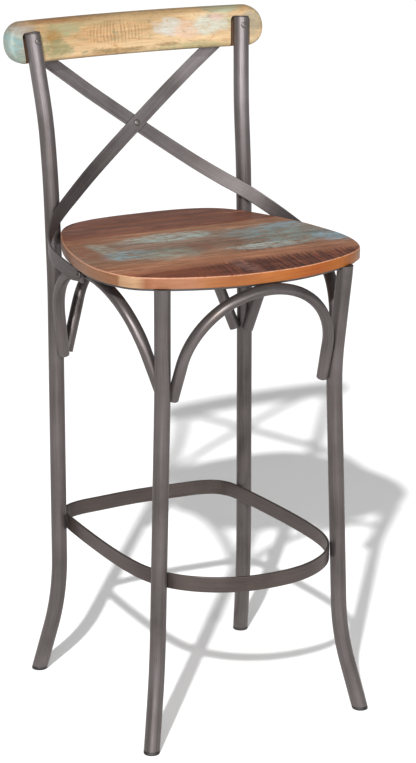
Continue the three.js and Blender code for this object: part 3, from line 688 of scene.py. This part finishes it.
def rail_wood(name):
    s = Shader(name)
    place = s.add("ShaderNodeAttribute", attribute_name="flow")["Vector"]
    x, depth, z = s.split(place)

    wide = s.noise(s.stretch(place, (8, 8, 22)), 1.0, 4, 0.6)
    rough_edge = s.noise(s.stretch(place, (34, 34, 70)), 1.0, 5, 0.7)
    chips = s.noise(s.stretch(place, (110, 200, 300)), 1.0, 6, 0.75)
    figure, fibre, pores = wood_grain(s, place, 6, 180, 3.7)

    color = s.mix(s.band(figure, 0.36, 0.62), rgb(212, 172, 120), rgb(242, 208, 160))
    color = s.mix(s.band(wide, 0.5, 0.72, 0.0, 0.7), color, rgb(240, 190, 136))
    color = s.mix(s.band(wide, 0.46, 0.32, 0.0, 0.6), color, rgb(190, 182, 140))
    flakes = s.noise(s.stretch(place, (60, 60, 130)), 1.0, 6, 0.78, 0.6)
    stain = s.noise(s.stretch(place, (26, 26, 64), (0.7, 0, 0.2)), 1.0, 6, 0.75, 1.0)
    color = s.mix(s.band(stain, 0.55, 0.68, 0.0, 0.7), color, rgb(196, 132, 62))
    color = s.mix(s.band(stain, 0.45, 0.33, 0.0, 0.7), color, rgb(160, 166, 132))
    for centre, radii, tint, strength in RAIL_PATCHES:
        here = patch(s, place, (centre[0], 0, centre[1]), (radii[0], 0, radii[1]), rough_edge,
                     2.2, 0.8)
        here = s.times(here, s.band(flakes, 0.4, 0.52, 0.55, 1.0))
        color = s.mix(s.times(here, strength), color, tint)

    sawn = patch(s, place, (-36, 0, 1058), (46, 0, 17), rough_edge, 1.6, 0.9)
    sawn = s.times(sawn, saw_marks(s, place, 6.2, wide, 0.0, 1.0))
    color = s.mix(s.times(sawn, 0.55), color, rgb(166, 122, 70))

    # Darker top and bottom edges, and painted shade in the notches.
    low = s.band(s.plus(z, s.times(rough_edge, 0.006)), 1.0285, 1.023)
    color = s.mix(s.times(low, 0.75), color, rgb(132, 94, 52))
    top = s.band(s.plus(z, s.times(rough_edge, 0.007)), 1.0805, 1.0875)
    color = s.mix(s.times(top, 0.5), color, rgb(164, 132, 90))
    # Painted shade inside the notch beside each post.
    from_post = s.math("ABSOLUTE", s.math("SUBTRACT", s.math("ABSOLUTE", x), 0.186))
    notch_shade = s.times(s.band(depth, 0.0025, 0.005), s.band(from_post, 0.0215, 0.0185))
    notch_shade = s.times(notch_shade, s.band(depth, 0.0235, 0.022))
    notch_shade = s.times(notch_shade, s.band(z, 1.0765, 1.0745))
    color = s.mix(notch_shade, color, rgb(128, 92, 66))

    # Fibres, pores, gouges and dirt.
    color = s.toned(s.band(fibre, 0.34, 0.6, 0.38, 0.0), color, (0.62, 0.54, 0.46))
    color = s.toned(s.band(fibre, 0.58, 0.76, 0.0, 0.35), color, (1.16, 1.15, 1.14))
    color = s.mix(s.times(pores, 0.3), color, rgb(96, 66, 40))
    gouges = s.noise(s.stretch(place, (22, 22, 330), (0.4, 0, 0.1)), 1.0, 3, 0.6)
    gouges = s.band(gouges, 0.69, 0.75)
    color = s.mix(s.times(gouges, 0.6), color, rgb(116, 86, 50))
    dirt = s.noise(s.stretch(place, (30, 30, 95), (1.3, 0, 0)), 1.0, 6, 0.72, 1.2)
    color = s.mix(s.times(s.band(dirt, 0.54, 0.66), 0.5), color, rgb(126, 118, 84))
    color = s.scaled(color, (RAIL_SHADE,) * 3)

    height = s.plus(s.times(fibre, 0.5), s.times(figure, 0.4))
    height = s.math("SUBTRACT", height, s.times(gouges, 0.7))
    height = s.math("SUBTRACT", height, s.times(sawn, 0.7))
    height = s.plus(height, s.times(chips, 0.25))
    return s.finish(color, s.band(chips, 0.3, 0.7, 0.42, 0.66), s.bump(height, 0.6, 0.0007),
                    coat=0.1, coat_rough=0.35, specular=0.35)


# ---------------------------------------------------------------- camera, floor, light
EYE = Vector((-2.106898, -3.765036 + SHIFT_Y / 1000, 1.810177))
RIGHT = Vector((0.87295, -0.48769, 0.01103))
UP = Vector((0.12973, 0.25388, 0.9585))
AHEAD = Vector((0.47025, 0.83529, -0.28489))
FOCAL = 132.67
FLOOR_HALF = 14


def add_lamp(name, kind, at, direction, energy, **settings):
    lamp = bpy.data.lights.new(name, kind)
    lamp.energy = energy
    for key, value in settings.items():
        setattr(lamp, key, value)
    piece = placed(name, lamp)
    piece.location = at
    piece.rotation_euler = Vector(direction).to_track_quat("-Z", "Y").to_euler()


def build_stage():
    lens = bpy.data.cameras.new("camera")
    lens.lens = FOCAL
    lens.sensor_width = 36
    lens.clip_end = 60
    eye = placed("camera", lens)
    matrix = np.eye(4)
    matrix[:3, :3] = np.column_stack([RIGHT, UP, -AHEAD])
    matrix[:3, 3] = EYE
    eye.matrix_world = Matrix(matrix.tolist())
    bpy.context.scene.camera = eye

    mesh = bpy.data.meshes.new("floor")
    corners = [(FLOOR_HALF * x, FLOOR_HALF * y, 0) for x, y in ((-1, -1), (1, -1), (1, 1), (-1, 1))]
    mesh.from_pydata(corners, [], [(0, 1, 2, 3)])
    floor = placed("floor", mesh)
    s = Shader("floor_white")
    place = s.add("ShaderNodeTexCoord")["Object"]
    color = s.ramp(s.noise(place, 3, 3), [(0.3, (0.93,) * 3), (0.7, (0.95,) * 3)])
    mesh.materials.append(s.finish(color, 0.9, None, specular=0.05))

    world = bpy.data.worlds.new("studio")
    world.use_nodes = True
    background = world.node_tree.nodes["Background"].inputs
    background["Color"].default_value = (1, 1, 1, 1)
    background["Strength"].default_value = 0.34
    bpy.context.scene.world = world

    add_lamp("key", "SUN", (0, 0, 0), (0.86, 1.08, -1.0), 4.0, angle=math.radians(1.6))
    panel = Vector((-1.6, -5.2, 2.5))
    add_lamp("soft_front", "AREA", panel, Vector((0, 0, 0.9)) - panel, 350, shape="RECTANGLE",
             size=7.4, size_y=2.3)
    bpy.context.scene.view_settings.view_transform = "Standard"


build_stage()

# The steel's tone by height: darker round the footrest and just below the seat, with a painted
# highlight towards the top: height, factor.
TONE_AND_HIGHLIGHT_BY_HEIGHT = [(0.04, (0.98,) * 3), (0.16, (0.88,) * 3), (0.3, (0.8, 0.79, 0.78)),
                  (0.6, (0.92, 0.91, 0.91)), (0.74, (0.8,) * 3), (0.83, (0.86,) * 3),
                  (0.95, (1.28, 1.29, 1.32)), (1.0, (1.42, 1.44, 1.48))]

# Each finish is a material and the name of its slot.
GUNMETAL = (steel("gunmetal", rgb(62, 57, 55), rgb(99, 93, 93)), "gunmetal_steel")
RING_STEEL = (steel("ring_gunmetal", rgb(56, 49, 47), rgb(88, 79, 76)), "gunmetal_steel")
ZINC = (steel("dark_zinc", rgb(62, 58, 56), rgb(96, 91, 88), (0.4, 0.55)), "zinc_hardware")
BLACK = (plastic("black_plastic"), "black_plastic")

# Where along the front-to-rear span (0 to 1) each board's colour starts and ends.
BOARD_COLOURS = [(0.0, rgb(108, 58, 38)), (0.17, rgb(118, 66, 44)), (0.235, rgb(152, 104, 76)),
                 (0.29, rgb(144, 104, 80)), (0.42, rgb(130, 104, 86)),
                 (0.47, rgb(128, 106, 92)), (0.6, rgb(132, 110, 94)), (0.65, rgb(150, 111, 86)),
                 (0.7, rgb(150, 111, 86)), (0.712, rgb(118, 74, 56)),
                 (0.84, rgb(126, 82, 64)), (0.9, rgb(118, 76, 60)), (1.0, rgb(108, 72, 60))]
# Paint left on the seat, and one painted glare: middle (x, y), half widths, colour, cover.
PAINT_AND_GLARE_PATCHES = [
    ((-30, 50), (84, 24), rgb(150, 164, 158), 1.0),
    ((-165, 26), (18, 36), rgb(140, 142, 130), 0.9),
    ((-145, -24), (44, 26), rgb(122, 148, 152), 1.0),
    ((-80, -42), (50, 34), rgb(128, 140, 130), 0.8),
    ((-16, -25), (18, 20), rgb(120, 76, 62), 0.8),
    ((85, -60), (68, 19), rgb(146, 160, 156), 0.95),
    ((165, 42), (50, 24), rgb(118, 146, 156), 1.0),
    ((150, -12), (76, 46), rgb(116, 134, 130), 0.9),
    ((205, -50), (28, 34), rgb(116, 150, 162), 1.0),
    ((92, 20), (40, 24), rgb(110, 130, 132), 0.85),
    # Painted glare: a reflected highlight on the front board.
    ((-14, -160), (16, 50), rgb(130, 100, 92), 0.55),
    ((178, 118), (40, 40), rgb(92, 62, 56), 0.6),
    ((-198, 14), (20, 58), rgb(124, 78, 54), 0.95),
    ((-150, 84), (44, 20), rgb(122, 78, 56), 0.8),
    ((-150, 152), (48, 30), rgb(92, 56, 44), 0.8),
    ((-112, -162), (50, 24), rgb(100, 52, 32), 0.8),
]
EDGE_COLOURS = [(0.0, rgb(206, 162, 124)), (0.14, rgb(190, 133, 102)),
                (0.25, rgb(186, 120, 72)), (0.365, rgb(176, 104, 52)), (0.5, rgb(200, 120, 56)),
                (0.57, rgb(192, 110, 42)), (0.7, rgb(184, 92, 16)), (0.8, rgb(192, 108, 26)),
                (0.86, rgb(184, 104, 30)), (0.9, rgb(178, 112, 62)), (0.94, rgb(182, 138, 108))]
LEFT_EDGE_COLOURS = [(0.0, rgb(190, 133, 102)), (0.14, rgb(182, 120, 84)),
                     (0.165, rgb(168, 104, 70)), (0.19, rgb(196, 150, 110)),
                     (0.21, rgb(208, 166, 126)), (0.29, rgb(202, 158, 120)),
                     (0.31, rgb(160, 108, 74)), (0.6, rgb(166, 118, 86)),
                     (1.0, rgb(158, 112, 84))]
# Colour fields on the rail's front face: middle (x, z), half widths, colour, cover.
RAIL_PATCHES = [
    ((-128, 1072), (34, 13), rgb(174, 176, 134), 0.85),
    ((-152, 1060), (17, 11), rgb(180, 136, 70), 0.9),
    ((-146, 1040), (26, 13), rgb(158, 156, 110), 0.85),
    ((-208, 1056), (26, 34), rgb(188, 200, 190), 0.9),
    ((-204, 1046), (12, 14), rgb(186, 164, 146), 0.6),
    ((-222, 1050), (15, 34), rgb(150, 184, 184), 0.85),
    ((-204, 1076), (26, 9), rgb(184, 158, 142), 0.6),
    ((-205, 1032), (22, 10), rgb(156, 164, 144), 0.6),
    ((-120, 1084), (74, 5), rgb(176, 104, 56), 0.8),
    ((-30, 1078), (130, 8), rgb(184, 160, 114), 0.6),
    ((62, 1060), (26, 13), rgb(222, 222, 212), 0.9),
    ((98, 1052), (22, 14), rgb(238, 200, 172), 0.8),
    ((135, 1060), (32, 14), rgb(218, 222, 206), 0.9),
    ((148, 1071), (13, 6), rgb(232, 190, 178), 0.7),
    ((160, 1084), (38, 7), rgb(176, 196, 168), 0.9),
    ((105, 1027), (60, 7), rgb(182, 176, 128), 0.8),
    ((-30, 1029), (50, 4), rgb(150, 118, 64), 0.7),
    ((60, 1033), (22, 3), rgb(140, 104, 56), 0.6),
    ((212, 1060), (18, 24), rgb(164, 156, 132), 0.85),
]
# How much darker the wood is than the colours above, which are as it looks in the light.
RAIL_SHADE = 0.46
EDGE_SHADE = 0.44

SEAT_WOOD = (seat_wood("seat_wood"), "seat_wood")
RAIL_WOOD = (rail_wood("rail_wood"), "rail_wood")


# ---------------------------------------------------------------- steel parts
def add_legs():
    for side, mirror in (("right", False), ("left", True)):
        for row, corners, bends in (("front", FRONT_LEG, FRONT_LEG_BENDS),
                                    ("rear", REAR_LEG, REAR_LEG_BENDS)):
            points = mirrored(corners) if mirror else corners
            path = bent_line(points, bends)
            path[0] = path[0] + (path[1] - path[0]) * (GLIDE_HEIGHT + GAP) / path[1][2]
            top = FRAME_BOTTOM - GAP if row == "front" else None
            body = tube(path, LEG_R, LEG_BORE_R, 48, start_z=GLIDE_HEIGHT + GAP, top_z=top)
            if row == "front":
                add_lid(body, path)
                raise_rim(body)
            make(f"{row}_leg_tube_{side}", body, GUNMETAL, f"{row}_leg_{side}")
            add_glide(f"foot_glide_{row}_{side}", points)
            if row == "rear":
                add_cap(side, path)


def add_lid(body, path):
    """The disc that closes the bore at the top of a front leg."""
    loops = []
    for r, depth in ((LEG_BORE_R + 0.6, -LEG_LID), (LEG_BORE_R + 0.6, -0.6), (2, -0.4)):
        points = [path[-1] + np.array([math.cos(a) * r, math.sin(a) * r, depth])
                  for a in turns(40)]
        loops.append(body.ring(points, [tuple(p) for p in points]))
    body.skin(loops)


def raise_rim(body):
    """Lifts the part of a front leg's top that is outside the seat frame to the boards."""
    edge = seat_edge(RIM_CLEARANCE - FRAME_INSET)
    bearings = np.arctan2(edge[:, 1], edge[:, 0]) % (2 * math.pi)
    order = np.argsort(bearings)
    reach = np.hypot(edge[:, 0], edge[:, 1])
    for point in body.points:
        bearing = math.atan2(point[1], point[0]) % (2 * math.pi)
        limit = np.interp(bearing, bearings[order], reach[order])
        if point[2] > FRAME_BOTTOM - GAP - 1 and math.hypot(point[0], point[1]) > limit:
            point[2] += SEAT_BOTTOM - FRAME_BOTTOM


def add_glide(node, points):
    """A plastic sole with a plug that goes up into the leg's bore."""
    foot = np.array(points[0], float)
    lean = unit(np.array(points[1], float) - foot)
    body = Body()
    loops = []
    for r, z in ((0.4, 0), (LEG_R * 0.6, 0), (LEG_R - 1.2, 0), (LEG_R - 0.3, 0.5),
                 (LEG_R, 1.6), (LEG_R, 4.3), (LEG_R - 0.4, 4.9), (PLUG_R, GLIDE_HEIGHT),
                 (PLUG_R, PLUG_TOP - 1), (9, PLUG_TOP), (0.4, PLUG_TOP)):
        spokes = [np.array([math.cos(a), math.sin(a), 0]) for a in turns(40)]
        points = [foot + lean * z / lean[2] + spoke * r * (1 + 0.06 * abs(spoke @ lean))
                  for spoke in spokes]
        loops.append(body.ring(points, points))
    body.skin(loops)
    make(f"{node}_sole", body, BLACK, node)


def add_cap(side, path):
    run = unit(path[-1] - path[-2])
    profile = [(0, -6), (PLUG_R, -6), (PLUG_R, GAP), (LEG_R - 0.7, GAP), (LEG_R, GAP + 0.5),
               (LEG_R, GAP + 0.9), (LEG_R - 0.8, GAP + 1.6), (8, GAP + 1.75), (0, GAP + 1.8)]
    make(f"post_cap_disc_{side}", turned(profile, path[-1], run, 40), GUNMETAL,
         f"post_cap_{side}")


def add_braces():
    for name, (points, radius) in BRACES.items():
        body = tube(brace_path(*points, radius), BRACE_R, BRACE_BORE_R, 40,
                    flattening=BRACE_FLATTENING)
        make(f"{name}_tube", body, GUNMETAL, name)


def add_footrest():
    line = closed_outline(RING_OUTLINE, 260)
    outward = offset_outline(line, 1) - line
    middle = (RING_BOTTOM + RING_TOP) / 2
    stations = [(np.array([*p, middle]), np.array([0, 0, 1.0]), np.array([*f, 0]), r)
                for p, f, r in zip(line, outward, run_along(line))]
    section = eased_section(RING_TOP - RING_BOTTOM, RING_THICKNESS, 1.0)
    make("footrest_band", bar(stations, section, True), RING_STEEL, "footrest_ring")


def add_seat_frame():
    outer = seat_edge(-FRAME_INSET)
    inner = seat_edge(-FRAME_INSET - FRAME_WIDTH)
    ease = 0.6
    body = Body()
    loops = []
    for base, push, z in ((outer, -ease, FRAME_BOTTOM), (outer, 0, FRAME_BOTTOM + ease),
                          (outer, 0, FRAME_TOP - ease), (outer, -ease, FRAME_TOP),
                          (inner, ease, FRAME_TOP), (inner, 0, FRAME_TOP - ease),
                          (inner, 0, FRAME_BOTTOM + ease), (inner, ease, FRAME_BOTTOM)):
        moved = offset_outline(base, push)
        height = z - (FRAME_TOP + FRAME_BOTTOM) / 2
        loops.append(body.ring([np.array([x, y, z]) for x, y in moved],
                               [(x, height, y) for x, y in moved]))
    body.skin(loops, True)
    make("seat_frame_plate", body, GUNMETAL, "seat_frame")


def strap_stations(mirror, lift, count=220):
    """Centre, width and face directions and length along one strap. "lift" parts the two
    straps where they cross."""
    curve, place = catmull(STRAP_PATH, False, count)
    along = np.gradient(curve[:, :3], axis=0)
    along /= np.linalg.norm(along, axis=1)[:, None]
    knots = np.array(STRAP_PATH, float)
    index = np.arange(len(knots))
    stations = []
    for c, t, at, r in zip(curve, along, place, run_along(curve[:, :3])):
        bearing = math.radians(np.interp(at, index, knots[:, 3]))
        lean = np.interp(at, index, knots[:, 4])
        outward = np.array([math.cos(bearing), math.sin(bearing), -lean])
        across = unit(np.cross(outward, t))
        face = unit(np.cross(t, across))
        centre = c[:3] + face * lift * math.exp(-(c[0] / CROSSING_SPREAD) ** 2)
        if mirror:
            flip = np.array([-1.0, 1, 1])
            centre, across, face = centre * flip, across * flip, face * flip
        stations.append((centre, across, face, r))
    return stations


def crossing_point():
    """Where the straps cross, and the direction their faces have there."""
    stations = strap_stations(False, 0)
    centres = np.array([s[0] for s in stations])
    i = int(np.argmax(centres[:, 0] < 0))
    a, b = centres[i - 1], centres[i]
    k = a[0] / (a[0] - b[0])
    face = stations[i][2].copy()
    face[0] = 0
    face = unit(face)
    return a + (b - a) * k, face if face[1] < 0 else -face


def add_straps():
    lift = (STRAP_THICKNESS + GAP) / 2 + CROSSING_AIR
    section = eased_section(STRAP_WIDTH, STRAP_THICKNESS, 0.7, 2)
    sign = 1 if strap_stations(False, 0, 40)[25][2][1] > 0 else -1
    for side, mirror in (("right", False), ("left", True)):
        stations = strap_stations(mirror, (-1 if mirror else 1) * sign * lift)
        make(f"back_strap_bar_{side}", bar(stations, section), GUNMETAL,
             f"back_strap_{side}")


# ---------------------------------------------------------------- hardware
def pan_head(radius, height, shank, length, socket):
    """The profile of a screw with a rounded head and a round socket in it."""
    profile = [(0, -length), (shank, -length), (shank, 0.05), (radius, 0.05),
               (radius, height * 0.3)]
    for k in range(1, 6):
        a = math.radians(90 * k / 6)
        profile.append((radius * math.cos(a) ** 0.7, height * (0.3 + 0.7 * math.sin(a))))
    return profile + [(socket, height), (socket, height * 0.35), (0, height * 0.35)]


def hex_nut(face_x, height, radius, bore, flip, sides=48):
    """A hexagon nut with turned chamfers, its axis along X."""
    body = Body()
    loops = []
    for r, h, hexed in ((bore, 0.4, 0), (bore + 0.5, 0, 0), (radius * 0.88, 0, 0),
                        (radius, 0.7, 1), (radius, height - 0.7, 1),
                        (radius * 0.88, height, 0), (bore + 0.5, height, 0),
                        (bore, height - 0.4, 0)):
        points = []
        for k in range(sides):
            a = 2 * math.pi * k / sides
            flat = math.cos(math.pi / 6) / math.cos((a % (math.pi / 3)) - math.pi / 6)
            reach = r * (flat if hexed else min(1.0, flat * radius / r))
            points.append(np.array([face_x - flip * h, STRAP_BOLT_Y + reach * math.cos(a),
                                    BRACE_APEX_Z + reach * math.sin(a)]))
        loops.append(body.ring(points, [(y, z, x) for x, y, z in points]))
    body.skin(loops, True)
    return body


def rail_normal(x):
    turn = x / RAIL_BEND_R
    return unit(np.array([-math.sin(turn), -math.cos(turn), RAIL_LEAN]))


def add_rivet():
    centre, face = crossing_point()
    half = STRAP_THICKNESS + 2 * GAP
    dome = 2.6
    rounded = [(0, 1), (2.5, 0.95), (4.2, 0.65), (5.3, 0.2), (5.5, 0)]
    profile = [(r, -half - dome * h) for r, h in rounded] + [(3, -half), (3, half)]
    profile += [(r, half + dome * h) for r, h in rounded[::-1]]
    make("cross_rivet_domes", turned(profile, centre, face, 28), ZINC, "cross_rivet")


def add_screw(name, place, sizes, seat, axis):
    """One screw or bolt: head radius and height, shank radius, length and socket radius."""
    make(f"{name}_pan_{place}", turned(pan_head(*sizes), seat, axis, 28), ZINC,
         f"{name}_{place}")


def add_hardware():
    screw, bolt = (4.8, 2.7, 2.2), (5.6, 3.4, 3)
    count = 400
    end = strap_stations(False, 0, count)[int(count * STRAP_SCREW_AT)]
    behind = end[2] if end[2][1] > 0 else -end[2]
    behind_seat = end[0] + behind * (STRAP_THICKNESS / 2 + GAP)
    for side, flip in (("right", 1), ("left", -1)):
        mirror = np.array([flip, 1.0, 1.0])
        seat = (flip * (STRAP_START_X + STRAP_THICKNESS / 2 + STRAP_STANDOFF), STRAP_BOLT_Y,
                BRACE_APEX_Z)
        add_screw("strap_bolt", side, (*bolt, 32, 2.4), seat, (flip, 0, 0))
        face_x = flip * (SIDE_APEX_X - BRACE_HALF_WIDTH - NUT_STANDOFF)
        make(f"strap_nut_hex_{side}", hex_nut(face_x, 5, 5.8, 3.2, flip), ZINC,
             f"strap_nut_{side}")
        add_screw("strap_screw", side, (*screw, 20, 1.9), behind_seat * mirror, behind * mirror)
        path = bent_line(mirrored(REAR_LEG) if flip < 0 else REAR_LEG, REAR_LEG_BENDS)
        run = unit(path[-1] - path[-2])
        normal = rail_normal(path[-1][0])
        seat = path[-1] - RAIL_SCREW_DROP * run + (LEG_R + GAP) * normal
        add_screw("rail_screw", side, (*screw, 2 * LEG_R + 12, 1.9), seat, normal)
        for row, x, y in SEAT_SCREWS:
            add_screw("seat_screw", f"{row}_{side}", (*screw, 16, 1.9),
                      (flip * x, y, FRAME_BOTTOM - GAP), (0, 0, -1))


# ---------------------------------------------------------------- wooden parts
def add_seat_boards():
    count = 600
    half = count // 2 + 1
    line = closed_outline(SEAT_OUTLINE, count)
    levels = [(-0.8, SEAT_BOTTOM, 0.4), (-0.2, SEAT_BOTTOM + 0.3, 0.1), (0, SEAT_BOTTOM + 1, 0)]
    for k in range(7):
        a = math.radians(15 * k)
        levels.append((-SEAT_EASE * (1 - math.cos(a)),
                       SEAT_TOP - SEAT_EASE * (1 - math.sin(a)), 0.6 * (1 - math.cos(a))))
    t = np.linspace(0, 1, 40)
    rear_board = len(BOARD_SEAMS) - 2
    for number in range(len(BOARD_SEAMS) - 1):
        first = BOARD_SEAMS[number] + GAP / 2
        last = BOARD_SEAMS[number + 1] - GAP / 2
        body = Body()
        loops = []
        for offset, z, inset in levels:
            edge = offset_outline(line, offset)[:half]
            # np.interp needs values that rise, so each gets a tiny step.
            ys = np.maximum.accumulate(edge[:, 1]) + np.arange(half) * 1e-7
            low = max(first + inset, ys[0])
            high = min(last - inset, ys[-1])
            # The points crowd towards the tip of the front board and of the rear board.
            share = t * t if number == 0 else 1 - (1 - t) ** 2 if number == rear_board else t
            y = low + (high - low) * share
            x = np.interp(y, ys, edge[:, 0])
            right = [np.array([a, b, z]) for a, b in zip(x, y)]
            left = [np.array([-a, b, z]) for a, b in zip(x, y)][::-1]
            if number == 0:
                left = left[:-1]
            if number == rear_board:
                left = left[1:]
            ring = right + left
            loops.append(body.ring(ring, ring))
        body.skin(loops)
        make(f"seat_plank_{number + 1}", body, SEAT_WOOD, f"seat_board_{number + 1}", 50)


def rail_point(x, depth, z):
    angle = x / RAIL_BEND_R
    reach = RAIL_BEND_R + depth
    return np.array([reach * math.sin(angle), RAIL_FRONT_Y - RAIL_BEND_R
                     + reach * math.cos(angle) + RAIL_LEAN * (z - RAIL_LEVEL), z])


def rail_place(point):
    """The inverse of rail_point: distance along the rail, depth behind its face, height."""
    back = point[1] - RAIL_FRONT_Y + RAIL_BEND_R - RAIL_LEAN * (point[2] - RAIL_LEVEL)
    return (RAIL_BEND_R * math.atan2(point[0], back), math.hypot(point[0], back) - RAIL_BEND_R,
            point[2])


def add_top_rail():
    straight = RAIL_HALF_LENGTH - RAIL_CORNER_R
    sweep = np.linspace(0, math.pi / 2 * 0.97, 15)
    right = np.concatenate([np.linspace(0, straight, 60), straight
                            + RAIL_CORNER_R * np.sin(sweep[1:])])
    stations = np.concatenate([-right[:0:-1], right])
    body = Body()
    loops = []
    for x in stations:
        past = max(abs(x) - straight, 0)
        drop = RAIL_CORNER_R - math.sqrt(max(RAIL_CORNER_R ** 2 - past ** 2, 0))
        near_end = max(abs(x) - (RAIL_HALF_LENGTH - RAIL_EASE), 0)
        shrink = RAIL_EASE - math.sqrt(max(RAIL_EASE ** 2 - near_end ** 2, 0))
        low, high = RAIL_BOTTOM + drop, RAIL_TOP - drop
        half_high = (high - low) / 2
        half_deep = RAIL_THICKNESS / 2 - shrink
        ease = min(RAIL_EASE, half_high * 0.8, half_deep * 0.8)
        ring = []
        for cd, cz, end in ((-1, -1, 270), (-1, 1, 180), (1, 1, 90), (1, -1, 0)):
            for k in range(7):
                a = math.radians(end - 15 * k)
                depth = RAIL_THICKNESS / 2 + cd * (half_deep - ease) + ease * math.cos(a)
                z = (low + high) / 2 + cz * (half_high - ease) + ease * math.sin(a)
                ring.append(rail_point(x, depth, z))
        loops.append(body.ring(ring, ring))
    body.skin(loops)
    carved = plain_object("rail_blank", body)
    for points in (REAR_LEG, mirrored(REAR_LEG)):
        carved = carve(carved, plain_object("notch", notch(points)))
    carved_body = Body()
    for vertex in carved.data.vertices:
        point = np.array(vertex.co) * 1000 - ORIGIN
        carved_body.points.append(point)
        carved_body.flow.append(rail_place(point))
    carved_body.faces = [tuple(f.vertices) for f in carved.data.polygons]
    bpy.data.objects.remove(carved)
    make("top_rail_board", carved_body, RAIL_WOOD, "top_rail", 35)


def carve(blank, cutter):
    """The blank with the cutter's volume taken out, as a new plain mesh."""
    cut = blank.modifiers.new("cut", "BOOLEAN")
    cut.operation = "DIFFERENCE"
    cut.solver = "EXACT"
    cut.object = cutter
    graph = bpy.context.evaluated_depsgraph_get()
    mesh = bpy.data.meshes.new_from_object(blank.evaluated_get(graph))
    carved = placed("carved", mesh)
    bpy.data.objects.remove(blank)
    bpy.data.objects.remove(cutter)
    return carved


def notch(points):
    """The channel for the top of one post: open below and towards the sitter."""
    path = bent_line(points, REAR_LEG_BENDS)
    top = path[-1]
    run = unit(path[-1] - path[-2])
    normal = rail_normal(top[0])
    front = unit(normal - run * (normal @ run))
    across = np.cross(run, front)
    # The channel runs out of the rail below and in front with room to spare.
    below, ahead = 80, 50
    outline = [(-NOTCH_HALF, -below), (NOTCH_HALF, -below)]
    corner = NOTCH_CORNER_R
    for reach, start in ((NOTCH_HALF - corner, 0), (corner - NOTCH_HALF, 90)):
        for k in range(9):
            a = math.radians(start + 11.25 * k)
            outline.append((reach + corner * math.cos(a),
                            NOTCH_HEAD - corner + corner * math.sin(a)))
    body = Body()
    loops = []
    for depth in (-LEG_R - GAP, ahead):
        ring = [top + across * w + run * h + front * depth for w, h in outline]
        loops.append(body.ring(ring, ring))
    body.skin(loops)
    return body


add_legs()
add_braces()
add_footrest()
add_seat_frame()
add_straps()
add_rivet()
add_hardware()
add_seat_boards()
add_top_rail()
